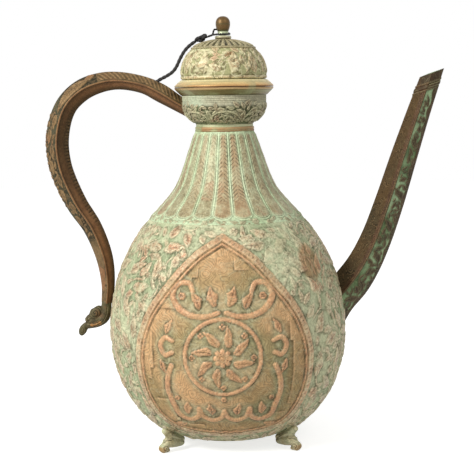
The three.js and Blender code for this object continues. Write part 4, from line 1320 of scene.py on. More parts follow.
@dataclass
class Neck:
    """The fluted neck: petals with rounded feet, feathered along their sides.

    Attributes:
        curve: The profile, as bezier takes it.
        petals: How many petals stand side by side.
        turned: The share of a turn that they are turned by.
        depth: How far their middles stand proud.
        foot: Where their feet are lowest, along the wall.
        foot_rise: How much higher a foot's sides are than its middle.
        feather_pitch: How far apart the engraved feathers are.
        dot_pitch: The same for the dots between the petals.
        warmth: How brown the petals are in turn, from 0 to 1.
        groove: How far inside a petal its groove is, and half its breadth.
        ridge_half: Half the breadth of the ridges between the petals.
        ridge_lift: How far they stand proud.
        feather_depth: How deep the feathers are.
        feathers: Where along the neck the feathers begin and are whole.
        fan_rays: How many rays a petal's foot has in a full turn.
    """

    curve: tuple[Pair, ...] = ((61.65, 179.3), (33.4, 209.7), (40.9, 200.3), (23.4, 248.4))
    wall: float = 1.6
    rows: int = 190
    columns: int = 720
    petals: int = 22
    turned: float = -2.7 / 360
    depth: float = 0.55
    foot: float = 4.6
    foot_rise: float = 7.2
    feather_pitch: float = 3.4
    dot_pitch: float = 1.9
    warmth: tuple[float, ...] = (0.8, 0.95, 0.1, 0.3, 0.1, 0.2, 0.5, 0.0, 0.35, 0.1, 0.5, 0.15)
    groove: Pair = (0.95, 0.4)
    ridge_half: float = 0.75
    ridge_lift: float = 0.5
    feather_depth: float = 0.34
    feathers: Pair = (18, 26)
    fan_rays: int = 30

    def press(self, skin: ChasedSkin) -> None:
        """Lays the petals side by side with pale ridges between, feathered sides and rimmed feet."""
        place = (skin.turn - self.turned) * self.petals + 0.5
        across = (place % 1) * 2 - 1
        number = np.floor(place).astype(int) % self.petals
        half = skin.girth[:, None] / self.petals / 2
        side = (1 - np.abs(across))[None, :] * half
        run = skin.run[:, None]
        foot = self.foot + self.foot_rise * (1 - np.sqrt(np.clip(1 - across**2, 0, 1)))
        inside = np.minimum(side, run - foot[None, :])
        ends = ease(skin.run[-1] - run, 0, 4) * ease(run, 0, 2.5)
        skin.lift += ends * self.depth * ease(inside, 0.7, 1.3) * (1 - 0.45 * across[None, :] ** 2)
        skin.raised[:] = (0.3 * ease(inside, 0.5, 0.9) + 0.7 * ease(inside, 0.9, 2.6)) * ends
        warm = np.array(self.warmth)[number % len(self.warmth)][None, :]
        skin.zone[:] = warm * ease(inside, 0.4, 1.0)
        groove = ruled(inside, *self.groove)
        dots = 0.65 + 0.35 * np.sin(run * 2 * math.pi / self.dot_pitch)
        skin.engrave(EVERYWHERE, groove * dots * ends, 0.2)
        ridge = rounded(inside, 0, self.ridge_half)
        skin.lift += self.ridge_lift * ridge * ends
        feather = ticks(run - side, self.feather_pitch, 3, 1)
        sided = ease(side, 0.7, 1.0) * (1 - ease(side, half * 0.82, half * 0.98)) * (inside > 0.6)
        strong = 0.25 + 0.45 * warm
        feathered = feather * sided * strong * ease(run, *self.feathers) * ends
        skin.engrave(EVERYWHERE, feathered, self.feather_depth)
        fan = np.arctan2(across[None, :] * half, np.maximum(foot[None, :] + 13 - run, 1.0))
        fan = np.clip(np.cos(fan * self.fan_rays) * 2 - 1, 0, 1)
        fan = fan * ease(inside, 0.9, 1.6) * (1 - ease(run, 9, 16))
        skin.engrave(EVERYWHERE, 0.55 * fan, 0.14)
        skin.taken[:] = inside > -0.8

    def build(self, finish: Finish) -> None:
        """Builds the neck."""
        outline = Outline(bezier(*self.curve), self.rows)
        skin = outline.skin(self.columns)
        self.press(skin)
        leaves = Foliage(seed=5, tries=1500, long=8, short=2.6, lift=0.7)
        leaves.fill(skin, 0.2, 10)
        skin.roughen(6, 0.035, 1)
        skin.roughen(7, 0.07, 3)
        skin.lift *= 0.1 + 0.9 * ease(skin.run, 0, 3)[:, None]
        neck = outline.turned("neck", skin, outline.inner_face(self.wall, 8))
        settle(neck, Body.VESSEL, Slot.PATINA, finish, "neck_shell")


NECK_FIELD = Palette.of((206, 222, 182), (178, 198, 154), (166, 158, 122), (152, 142, 106), (168, 140, 106))
NECK_WARM = Palette.of((206, 222, 182), (178, 198, 154), (174, 148, 112), (160, 130, 94), (174, 132, 96))
NECK_PATINA = Patina(
    "neck_patina", NECK_FIELD, NECK_WARM, tone(76, 70, 40), tone(214, 214, 176), bloom=0.2,
    line_share=0.95, edge_share=0.45, metal=0.15, hair=0.0, hair_share=0.0, vein=0.25,
)


@dataclass
class NeckRing:
    """The ringed collar under the bowl: two copper beads and a pale throat."""

    beads: tuple[float, ...] = (249.3, 251.2)
    bottom: float = 248.3
    top: float = 254.3
    radius: float = 23.1
    throat: float = 22.7
    bore: float = 20.4
    bead_lift: float = 0.6
    bead_half: float = 0.95
    columns: int = 240

    def build(self) -> None:
        """Builds the ring."""
        height = np.linspace(self.bottom, self.top, 40)
        radius = np.interp(height, (self.bottom, self.top), (self.radius, self.throat))
        for bead in self.beads:
            radius = radius + self.bead_lift * rounded(height, bead, self.bead_half)
        outline = Outline(np.stack([radius, height], axis=1), 48)
        inside = [(self.bore, self.top), (self.bore, self.bottom)]
        ring = outline.plain("neck_ring_skin", self.columns, inside)
        bands = ((248.6, tone(132, 100, 62)), (251.8, tone(176, 138, 92)), (252.6, tone(190, 190, 150)))
        finish = RuledBrass("ringed_brass", bands, tone(148, 156, 112), 0.9, metal=0.2, rough=0.55)
        settle(ring, Body.VESSEL, Slot.PALE, finish.material(), "neck_ring")


@dataclass
class CollarBowl:
    """The bowl under the lid, wrapped in curling leaves below a ruled edge.

    Attributes:
        curve: The profile, as bezier takes it.
        top: Where the profile ends.
        leaves: How many large leaves go round it.
        rule_pitch: How far apart the ruled lines are.
        arch: A large leaf's outer curl as (across, along) from its middle.
        within: Its inner curl.
    """

    curve: tuple[Pair, ...] = ((22.8, 254.4), (23.4, 255.8), (32.0, 259.6), (33.4, 268.9))
    top: Pair = (33.6, 276.9)
    wall: float = 1.6
    rows: int = 64
    columns: int = 480
    leaves: int = 7
    rule_pitch: float = 1.5
    arch: tuple[Pair, ...] = (
        (-13.5, 4), (-12.6, 9.4), (-7.5, 12.8), (0.5, 13.8), (8.0, 11.8), (12.0, 8.2), (16.0, 4.2),
    )
    within: tuple[Pair, ...] = (
        (-8.4, 4), (-6.4, 8.2), (-0.6, 10.2), (4.6, 8.6), (8.0, 4.6),
    )

    def outline(self) -> Outline:
        """The bowl's profile."""
        return Outline(np.vstack([bezier(*self.curve), [self.top]]), self.rows)

    def press(self, skin: ChasedSkin) -> None:
        """Raises the leaves and rules the edge."""
        end = skin.run[-1]
        for k in range(self.leaves):
            turn = (k + 0.56) / self.leaves - 0.5
            mm = 1 / skin.girth.max()
            for curl, width, lift in ((self.arch, (1.3, 2.3, 1.5), 1.1), (self.within, (1.0, 1.6, 1.1), 0.9)):
                skin.stroke([(turn + across * mm, along) for across, along in curl], width, lift)
            for number in range(5):
                aim = math.radians(38 + 26 * number)
                skin.leaf((turn + 0.5 * mm, 3.4), aim, 6.2, 2.8, 0.12 * (number - 2), 0, 0.9)
            skin.leaf((turn + 15.0 * mm, 14.8), math.radians(-100), 10, 5.6, 0.3, 2, 1.0)
            skin.leaf((turn - 9.0 * mm, 14.4), math.radians(24), 9, 4.0, -0.3, 2, 0.8)
        skin.crowding = 0.2
        skin.zone[:] = ease(skin.run, end - 9.4, end - 7)[:, None]
        Foliage(seed=23, tries=1300, long=6.5, short=2.4, lift=0.75).fill(skin, 2.4, end - 8)
        lines = ticks(skin.run - end, self.rule_pitch, 2, 1) * (skin.run > end - 6.5)
        skin.engrave(EVERYWHERE, 0.8 * lines[:, None], 0.22)

    def build(self, finish: Finish) -> Outline:
        """Builds the bowl and returns its profile, which the handle ends on."""
        outline = self.outline()
        skin = outline.skin(self.columns)
        self.press(skin)
        bowl = outline.turned("collar_skin", skin, outline.inner_face(self.wall, 6))
        settle(bowl, Body.VESSEL, Slot.PATINA, finish, "collar_bowl")
        return outline


COLLAR_FIELD = Palette.of((118, 128, 90), (66, 64, 36), (176, 170, 132), (136, 116, 84), (146, 100, 78))
COLLAR_EDGE = Palette.of((194, 206, 174), (178, 172, 144), (168, 156, 128), (130, 108, 80), (150, 112, 90))
COLLAR_PATINA = Patina(
    "collar_patina", COLLAR_FIELD, COLLAR_EDGE, tone(42, 36, 18), tone(218, 212, 172), line_share=1.0,
    metal=0.15, hair_share=0.0, gloss=0.25, vein=0.4, vein_scale=160,
)


def outward(grid: Grid) -> Grid:
    """The directions square to a grid of rings, away from their middles."""
    along = np.gradient(grid, axis=0)
    around = np.roll(grid, -1, axis=1) - np.roll(grid, 1, axis=1)
    square = np.cross(around, along)
    square /= np.linalg.norm(square, axis=-1, keepdims=True) + 1e-9
    middle = grid.mean(axis=1, keepdims=True)
    return square * np.sign(((grid - middle) * square).sum())


@dataclass
class Limb:
    """A limb of diamond section, swept in the upright plane through the jug's axis.

    Its skin's turn is 0 on the front ridge, 0.25 on the outer edge, -0.25 on the inner edge and 0.5 on the
    back ridge.

    Attributes:
        inner: The inner edge from the root on, as rows of (x from the axis, height) in millimetres.
        outer: The outer edge.
        depth: How deep the section is at each row.
        ridge_share: Where the ridges lie between the edges.
        fullness: 1 for flat faces, more for fuller ones.
        columns: How many columns the skin has.
    """

    inner: Grid
    outer: Grid
    depth: Grid
    ridge_share: float
    fullness: float
    columns: int

    def skin(self) -> ChasedSkin:
        """The unrolled faces."""
        width = np.linalg.norm(self.outer - self.inner, axis=1)
        run = run_of((self.inner + self.outer) / 2, placed=2)
        return ChasedSkin(run, 2 * np.hypot(width, self.depth), self.columns)

    def surface(self, grow: float = 0) -> Grid:
        """The plain faces as rings of places from the jug's axis, grown by a distance."""
        turn = np.arange(self.columns) / self.columns - 0.5
        around = 4 * np.abs(turn)
        front = 1 - around
        aside = np.where(around < 1, around, 2 - around) * np.sign(turn)
        size = (np.abs(front) ** self.fullness + np.abs(aside) ** self.fullness) ** (1 / self.fullness)
        share = np.where(aside > 0, 1 - self.ridge_share, self.ridge_share) * aside / size
        across = self.outer - self.inner
        middle = self.inner + across * self.ridge_share
        width = np.linalg.norm(across, axis=1)
        keep = (1 + 2 * math.sqrt(2) * grow / np.minimum(self.depth, width))[:, None]
        x = middle[:, 0:1] + across[:, 0:1] * share[None, :] * keep
        z = middle[:, 1:2] + across[:, 1:2] * share[None, :] * keep
        y = -self.depth[:, None] / 2 * (front / size)[None, :] * keep
        return np.stack([x, y, z], axis=-1)

    def starts(self, wall: Outline, sink: float) -> Grid:
        """The row, for each column, where the limb comes out of a turned wall."""
        grid = self.surface()
        radius = np.interp(grid[..., 2], wall.height, wall.radius) - sink
        out = np.hypot(grid[..., 0], grid[..., 1]) - radius
        first = np.argmax(out > 0, axis=0)
        column = np.arange(self.columns)
        before, after = out[first - 1, column], out[first, column]
        return first - after / (after - before)

    def from_starts(self, values: Grid, starts: Grid) -> Grid:
        """The same values with each column's rows spread from its start to the end."""
        count = len(values)
        rows = starts[None, :] + (count - 1 - starts[None, :]) * np.linspace(0, 1, count)[:, None]
        low = np.clip(np.floor(rows).astype(int), 0, count - 2)
        share = rows - low
        column = np.arange(self.columns)[None, :]
        share = share.reshape(share.shape + (1,) * (values.ndim - 2))
        return values[low, column] * (1 - share) + values[low + 1, column] * share

    def built(self, name: str, skin: ChasedSkin, wall: Outline, bore: float) -> Piece:
        """The limb with its ornament, from the wall that carries it to its end.

        Args:
            name: The object's name.
            skin: The unrolled faces.
            wall: The turned wall that it is fixed to.
            bore: How thick its wall is, where its end is open, or 0 where it is closed.
        """
        starts = self.starts(wall, 0.5)
        plain = self.surface()
        grid = self.from_starts(plain + outward(plain) * skin.lift[..., None], starts)
        marks = self.from_starts(skin.channels(), starts)
        if bore:
            within = self.from_starts(self.surface(-bore), starts)[::-1][:: max(len(plain) // 60, 1)]
            grid = np.concatenate([grid, within])
            marks = np.concatenate([marks, np.zeros(within.shape[:2] + (4,))])
        grid[..., 0] += AXIS_X / MM
        return mesh_object(name, grid, marks, bool(bore))


def limb_places(skin: ChasedSkin) -> tuple[Grid, ...]:
    """Where the cells of a limb's skin lie.

    Returns:
        Their distances along the limb, its girths, the distances from the nearer ridge and from the nearer
        edge, and whether they are on the outer side.
    """
    turn = skin.turn[None, :]
    girth = skin.girth[:, None]
    from_ridge = np.minimum(np.abs(turn), 0.5 - np.abs(turn)) * girth
    from_edge = np.abs(np.abs(turn) - 0.25) * girth
    return skin.run[:, None], girth, from_ridge, from_edge, turn > 0


def twin_leaf(
    skin: ChasedSkin, at: Pair, aim: float, size: Pair, bend: float, lobes: int, lift: float
) -> None:
    """Raises a leaf on the near and on the far side of a limb, its aim in degrees and its size a pair."""
    angle = math.radians(aim)
    skin.leaf(at, angle, *size, bend, lobes, lift)
    skin.leaf((0.5 - at[0], at[1]), math.pi - angle, *size, -bend, lobes, lift)


@dataclass
class Handle:
    """The long handle: hatched crest, a smooth leaf, foliage down its outer faces, and a plain lower end.

    Attributes:
        stations: The middle line from the bowl on, as (x from the axis, height, breadth) in millimetres.
        fullness: 1 for flat faces, more for fuller ones.
        hatch: Where the hatching starts and ends, along the handle.
        smooth_leaf: Where the smooth leaf starts and ends.
        edge_ticks_from: Where the ticks of the inner edge start.
        plain_from: Where the foliage ends.
        hatch_pitch: How far apart the hatching's lines are.
        saw_pitch: The same for the ticks.
        leaf_pitch: The same for the main leaves.
        vent_after: How far past the foliage the vent hole is.
        ridge: Half the breadth of the ridges, and how far they stand proud.
        ridge_line: How far from a ridge the line beside it is, and half its breadth.
    """

    stations: tuple[Triple, ...] = (
        (-22.4, 262.7, 11.6), (-37.0, 271.1, 12.6), (-50.2, 279.3, 14.6), (-63.0, 285.7, 13.6),
        (-83.2, 289.7, 14.0), (-98.9, 288.2, 15.8), (-114.0, 281.9, 17.2), (-126.4, 269.2, 17.4),
        (-133.2, 246.7, 18.2), (-131.7, 222.7, 18.2), (-120.1, 193.3, 17.2), (-107.4, 172.6, 15.4),
        (-98.6, 148.2, 13.6), (-96.3, 126.6, 10.8), (-97.7, 111.6, 8.8),
    )
    rows: int = 640
    columns: int = 144
    fullness: float = 1.14
    hatch: Pair = (14, 84)
    smooth_leaf: Pair = (90, 124)
    edge_ticks_from: float = 96
    plain_from: float = 226
    hatch_pitch: float = 3.5
    saw_pitch: float = 2.9
    leaf_pitch: float = 11.5
    vent_after: float = 44
    ridge: Pair = (0.9, 0.4)
    ridge_line: Pair = (1.5, 0.45)

    def limb(self) -> Limb:
        """The handle's plain faces."""
        path = smooth_path(self.stations, self.rows, placed=2)
        way = unit(np.gradient(path[:, :2], axis=0))
        aside = np.stack([way[:, 1], -way[:, 0]], axis=1) * path[:, 2:3] / 2
        return Limb(path[:, :2] - aside, path[:, :2] + aside, path[:, 2], 0.5, self.fullness, self.columns)

    def press(self, skin: ChasedSkin) -> None:
        """Raises and cuts the ornament, with a painted highlight strip along the inner face."""
        run, girth, from_ridge, from_edge, outer = limb_places(skin)
        skin.zone[:] = ~outer
        skin.press(EVERYWHERE, rounded(from_ridge, 0, self.ridge[0]), self.ridge[1])
        share = 4 * from_ridge / girth
        # Painted highlight: a bright copper band along the inner face beside the ridge, stronger and weaker
        # along the handle.
        glow = 0.6 + 0.4 * np.sin(run / 31)
        highlight_strip = np.exp(-(((share - 0.4) / 0.24) ** 2)) * glow * ~outer
        skin.rub(highlight_strip)
        # The inner face darkened towards its inner edge and towards the lower end, held in the cut share
        # though nothing is cut there.
        dark = np.maximum(ease(share, 0.78, 0.98), ease(run, 220, 300) * ease(share, 0.15, 0.5))
        skin.cut[:] = np.maximum(skin.cut, 0.6 * dark * ~outer)
        line = ruled(from_ridge, *self.ridge_line)
        skin.engrave(EVERYWHERE, line, 0.22)
        first, last = self.hatch
        hatched = ease(run, first, first + 3) * (1 - ease(run, last - 3, last))
        tick = ticks(run - 0.8 * from_ridge, self.hatch_pitch, 1.6, -0.2)
        skin.press(EVERYWHERE, tick * hatched * outer * (from_ridge > 2.1) * (from_edge > 0.5), 0.3)
        skin.rub(0.55 * outer * (run < last))
        ticked = 1 - ease(run, self.plain_from - 24, self.plain_from + 4)
        saw = ticks(run, self.saw_pitch, 3, 0.8) * (from_edge < 5.6) * (from_edge > 0.3)
        begun = ease(run, self.edge_ticks_from, self.edge_ticks_from + 20)
        skin.engrave(EVERYWHERE, saw * ~outer * begun * ticked, 0.5)
        skin.rub(0.8 * outer * ease(run, self.plain_from, self.plain_from + 12))
        skin.taken[:] = (from_ridge < 1.9) | ~outer | (run < last)
        start, end = self.smooth_leaf
        twin_leaf(skin, (0.2, start - 5), 100, (9, 6), 0.2, 2, 0.9)
        twin_leaf(skin, (0.12, start), 90, (end - start, 9), 0.06, 0, 1.0)
        for k, along in enumerate(np.arange(end + 1, self.plain_from - 10, self.leaf_pitch)):
            side, aim, bend = (0.17, 110, -0.35) if k % 2 else (0.08, 70, 0.35)
            twin_leaf(skin, (side, float(along)), aim, (11, 6.4), bend, 2, 0.6)
            for turn_at in (0.25 - side, 0.25 + side):
                skin.flower((turn_at, float(along) + 5.5), 2.7, 5, 0.55)
        for turns in ((0.03, 0.235), (0.265, 0.47)):
            Foliage(seed=31, tries=520, long=6, short=2.4, lift=0.5).fill(skin, end, self.plain_from, turns)
        for side in (0.06, 0.44):
            cells, across, up = skin.window(side, self.plain_from + self.vent_after, 3)
            skin.engrave(cells, ease(1.7 - np.hypot(across, up), 0, 0.8), 0.6)

    def build(self, bowl: Outline) -> None:
        """Builds the handle, fixed to the bowl."""
        limb = self.limb()
        skin = limb.skin()
        self.press(skin)
        handle = limb.built("handle_skin", skin, bowl, 0)
        settle(handle, Body.VESSEL, Slot.DARK, HANDLE_PATINA.material(), "handle")


HANDLE_OUTER = Palette.of((46, 42, 26), (72, 70, 50), (136, 108, 70), (100, 78, 48), (146, 104, 68))
HANDLE_INNER = Palette.of((82, 60, 36), (64, 50, 30), (138, 96, 62), (116, 78, 50), (144, 100, 66))
HANDLE_PATINA = Patina(
    "handle_patina", HANDLE_OUTER, HANDLE_INNER, line=tone(34, 26, 14), edge=tone(170, 138, 98),
    bloom=0.2, line_share=0.95, edge_share=0.45, metal=0.2, gloss=0.2, hair=0.0, hair_share=0.0,
    vein=0.2, vein_scale=150,
)


@dataclass
class Spout:
    """The long spout: a hair-engraved inner side, vines on its outer side and a plain slanting tip.

    Attributes:
        edges: The inner and the outer edge from the root on, as (x from the axis, height) in millimetres.
        depth_share: The section's depth as a share of its breadth.
        tip_slant: How much of that depth is left at the tip.
        ridge_share: Where the ridges lie between the edges.
        fullness: 1 for flat faces, more for fuller ones.
        band: How far from the tip the two beads lie.
        leaf_pitch: How far apart the vine's main leaves are.
        ridge: Half the breadth of the ridges, and how far they stand proud.
        ridge_lines: How far from a ridge the two lines beside it are.
        rim: How far from an edge its green rim ends.
        bead_lift: How far the two beads stand proud.
    """

    edges: tuple[tuple[Pair, Pair], ...] = (
        ((67.8, 110), (90.8, 86)), ((77.8, 121), (100, 102)), ((87.2, 131.7), (112.2, 116.5)),
        ((98.6, 146.1), (121.9, 132.6)), ((109.2, 165.4), (131.7, 155.1)),
        ((120.6, 194.3), (142.4, 186.6)), ((134.3, 232.6), (153.9, 225.9)),
        ((148.7, 270.5), (165.4, 264.6)), ((155.9, 288.6), (175.3, 295.4)),
    )
    depth_share: float = 0.94
    tip_slant: float = 0.78
    ridge_share: float = 0.44
    fullness: float = 1.12
    wall: float = 1.5
    rows: int = 520
    columns: int = 168
    band: Pair = (8.4, 14.8)
    leaf_pitch: float = 13
    ridge: Pair = (1.0, 0.3)
    ridge_lines: Pair = (1.7, 2.8)
    rim: Pair = (3.4, 4.8)
    bead_lift: float = 0.5

    def limb(self) -> Limb:
        """The spout's plain faces."""
        pairs = [inner + outer for inner, outer in self.edges]
        dense = smooth_path(pairs, self.rows, placed=4)
        inner, outer = dense[:, :2], dense[:, 2:]
        width = np.linalg.norm(outer - inner, axis=1)
        share = ease(np.linspace(0, 1, self.rows), 1 - 1.15 / (len(self.edges) - 1), 1)
        depth = width * self.depth_share * (1 + (self.tip_slant - 1) * share)
        return Limb(inner, outer, depth, self.ridge_share, self.fullness, self.columns)

    def to_tip(self, limb: Limb, skin: ChasedSkin) -> Grid:
        """The distance of every cell from the slanting end of the tip."""
        turn = np.abs(np.abs(skin.turn) * 4 - 1) * -np.sign(skin.turn)
        inner_run = run_of(limb.inner, placed=2)
        outer_run = run_of(limb.outer, placed=2)
        inner_left = (inner_run[-1] - inner_run)[:, None]
        outer_left = (outer_run[-1] - outer_run)[:, None]
        share = 0.5 + 0.5 * (1 - np.abs(turn)) * np.sign(skin.turn)
        return inner_left * (1 - share) + outer_left * share

    def press(self, limb: Limb, skin: ChasedSkin) -> None:
        """Raises and cuts the ornament."""
        run, _, from_ridge, from_edge, outer = limb_places(skin)
        left = self.to_tip(limb, skin)
        chased = ease(left, self.band[1] - 1, self.band[1] + 1)
        skin.zone[:] = ~outer
        skin.press(EVERYWHERE, rounded(from_ridge, 0, self.ridge[0]) * chased, self.ridge[1])
        rim = (1 - ease(from_edge + 0.9 * np.sin(run / 2.3), *self.rim)) * chased * outer
        skin.press(EVERYWHERE, rim, 0.4)
        skin.rub(np.exp(-(((from_ridge - 2.0) / 1.7) ** 2)) * ~outer)
        for at in self.ridge_lines:
            skin.engrave(EVERYWHERE, ruled(from_ridge, at, 0.4) * chased, 0.18)
        for middle in self.band:
            bead = rounded(left, middle, 1.0)
            skin.lift[:] = np.maximum(skin.lift, self.bead_lift * bead)
            skin.rub(bead)
        skin.taken[:] = (from_ridge < 2.0) | ~outer | (left < self.band[1] + 1.5) | (from_edge < 3.8)
        tip = skin.run[-1] - self.band[1] - 8
        for k, along in enumerate(np.arange(6, tip, self.leaf_pitch)):
            side, aim, bend = (0.08, 62, -0.4) if k % 2 else (0.17, 118, 0.4)
            twin_leaf(skin, (side, float(along)), aim, (13, 8), bend, 2, 0.8)
        skin.crowding = 0.25
        for turns in ((0.035, 0.225), (0.275, 0.465)):
            Foliage(seed=43, tries=1300, long=9, short=3.4, lift=0.7).fill(skin, 2, tip, turns)
        skin.zone[:] *= np.where(left < self.band[0] - 1, 0.0, 1.0)
        skin.rub(1 - ease(left, self.band[1], self.band[1] + 1))

    def build(self, belly: Outline) -> None:
        """Builds the spout, fixed to the body."""
        limb = self.limb()
        skin = limb.skin()
        self.press(limb, skin)
        spout = limb.built("spout_skin", skin, belly, self.wall)
        settle(spout, Body.VESSEL, Slot.DARK, SPOUT_PATINA.material(), "spout")
        self.ring(limb)

    def ring(self, limb: Limb) -> None:
        """Builds the band between the two ruled lines, over the spout's faces."""
        skin = limb.skin()
        left = self.to_tip(limb, skin)
        plain = limb.surface()
        square = outward(plain)
        steps = np.linspace(self.band[1] - 1.4, self.band[0] + 1.4, 16)
        proud = 0.35 + 0.2 * np.sin(np.linspace(0, math.pi, 16)) ** 0.5
        proud[0] = proud[-1] = -0.5
        rings = []
        for at, out in zip(steps, proud):
            ring = []
            for column in range(skin.columns):
                order = left[::-1, column]
                shape = plain[::-1, column] + square[::-1, column] * out
                ring.append([np.interp(at, order, shape[:, axis]) for axis in range(3)])
            rings.append(ring)
        grid = np.array(rings)
        grid[..., 0] += AXIS_X / MM
        marks = np.zeros(grid.shape[:2] + (4,))
        marks[..., 0] = 1
        # Pale lines of painted highlight, with pale patina, along both edges of the band on the outer side.
        marks[1:4, :, 2] = marks[-4:-1, :, 2] = 1.4 * (skin.turn > 0.02)
        band = mesh_object("spout_band_skin", grid, marks, True)
        settle(band, Body.VESSEL, Slot.DARK, SPOUT_PATINA.material(), "spout_band")


SPOUT_OUTER = Palette.of((176, 202, 156), (108, 130, 88), (74, 56, 36), (58, 46, 28), (96, 66, 42))
SPOUT_INNER = Palette.of((70, 52, 28), (52, 42, 24), (76, 46, 28), (66, 42, 26), (84, 58, 36))
SPOUT_PATINA = Patina(
    "spout_patina", SPOUT_OUTER, SPOUT_INNER, line=tone(38, 28, 16), edge=tone(176, 172, 128),
    bloom=0.0, line_share=0.9, edge_share=0.3, metal=0.2, hair=0.05, hair_tone=tone(138, 112, 78),
    hair_share=0.4, hair_scale=100, gloss=0.15, vein=0.12,
)


class CastPiece:
    """A small casting built up from swelling strands, fused and chased with lines.

    Attributes:
        ball_step: How far apart the balls are that make up a strand, in millimetres.
        line_depth: How deep a chased line is.
        line_half: Half its breadth.
        bulge: How far a point stands out from its neighbours where it counts as a crest in full.
        flat: How far it may stand out and not count as a crest at all.
    """

    ball_step = 0.7
    line_depth = 0.42
    line_half = 0.55
    bulge = 0.03
    flat = 0.012

    def __init__(self, name: str, voxel: float) -> None:
        """Starts an empty casting.

        Args:
            name: The object's name.
            voxel: How fine the fused skin is, in millimetres.
        """
        self.name = name
        self.voxel = voxel
        self.work = bmesh.new()
        self.lines: list[Grid] = []
        self.rubbed: list[Triple] = []

    def strand(self, points: Sequence[Sequence[float]], spread: float) -> None:
        """Lays a strand through rows of (x, y, z, radius), in millimetres, some times wider than high."""
        rows = np.array(points, float)
        length = float(np.linalg.norm(np.diff(rows[:, :3], axis=0), axis=1).sum())
        for x, y, z, radius in smooth_path(rows, max(int(length / self.ball_step), 3)):
            swell = Matrix.Diagonal((radius, radius * spread, radius, 1))
            grown = Matrix.Translation((x, y, z)) @ swell
            bmesh.ops.create_icosphere(self.work, subdivisions=3, radius=1.0, matrix=grown)

    def line(self, points: Sequence[Sequence[float]]) -> None:
        """Chases a line through rows of (x, z) on both sides, in millimetres."""
        flat = [(x, z, 0.0) for x, z in points]
        self.lines.append(smooth_path(flat, 90)[:, :2])

    def cast(self, floor: float | None, turn: float = 0, shift: float = 0) -> Piece:
        """Fuses the strands, cuts the lines and stands the piece in its place.

        Args:
            floor: The height below which it is cut flat, or nothing.
            turn: How far it is turned about the jug's axis, in degrees.
            shift: How far it is moved to the right, in millimetres.
        """
        mesh = bpy.data.meshes.new(self.name)
        self.work.to_mesh(mesh)
        thing = linked(self.name, mesh)
        fused = thing.modifiers.new("fused", "REMESH")
        fused.mode = "VOXEL"
        fused.voxel_size = self.voxel
        smoothed = thing.modifiers.new("smoothed", "SMOOTH")
        smoothed.factor = 0.6
        smoothed.iterations = 4
        final = bpy.data.meshes.new_from_object(thing.evaluated_get(bpy.context.evaluated_depsgraph_get()))
        bpy.data.objects.remove(thing)
        place = np.empty(len(final.vertices) * 3)
        final.vertices.foreach_get("co", place)
        place = place.reshape(-1, 3)
        square = np.empty_like(place)
        final.vertices.foreach_get("normal", square.reshape(-1))
        cut = self.cuts(place)
        place = place - square * self.line_depth * cut[:, None]
        if floor is not None:
            place[:, 2] = np.maximum(place[:, 2], floor)
        marks = self.marks(final, place, square, cut)
        angle = math.radians(turn)
        spun = place.copy()
        spun[:, 0] = place[:, 0] * math.cos(angle) - place[:, 1] * math.sin(angle) + shift
        spun[:, 1] = place[:, 0] * math.sin(angle) + place[:, 1] * math.cos(angle)
        final.vertices.foreach_set("co", (spun * MM).ravel())
        mark(final, marks)
        final.update()
        final.shade_smooth()
        return linked(self.name, final)

    def cuts(self, place: Grid) -> Grid:
        """How deep each point lies in a chased line, from 0 to 1."""
        nearest = np.full(len(place), 9.0)
        for line in self.lines:
            apart = np.hypot(place[:, None, 0] - line[None, :, 0], place[:, None, 2] - line[None, :, 1])
            nearest = np.minimum(nearest, apart.min(axis=1))
        return np.clip(1 - (nearest / self.line_half) ** 2, 0, 1)

    def marks(
        self, mesh: bpy.types.Mesh, place: Grid, square: Grid, cut: Grid
    ) -> Grid:
        """What the finishes read at each point, from how the skin curves: painted shade where it curves in,
        painted highlight where it bulges.
        """
        ends = np.empty(len(mesh.edges) * 2, int)
        mesh.edges.foreach_get("vertices", ends)
        ends = ends.reshape(-1, 2)
        total = np.zeros_like(place)
        count = np.zeros(len(place))
        for here, there in ((0, 1), (1, 0)):
            np.add.at(total, ends[:, here], place[ends[:, there]])
            np.add.at(count, ends[:, here], 1)
        bulge = ((place - total / count[:, None]) * square).sum(axis=1)
        # Chased lines and painted shade where the skin curves in.
        hollow = np.clip(cut * 0.9 + np.clip(-bulge / self.bulge, 0, 1) * 0.7, 0, 1)
        # Painted highlight, with pale patina, where the skin bulges.
        crest = np.clip((bulge - self.flat) / self.bulge, 0, 1)
        zone = np.zeros(len(place))
        for x, z, radius in self.rubbed:
            apart = np.hypot(place[:, 0] - x, place[:, 2] - z)
            zone = np.maximum(zone, ease(apart, radius, 0.5 * radius))
        return np.stack([np.full(len(place), 0.8), hollow, crest, zone], axis=-1)


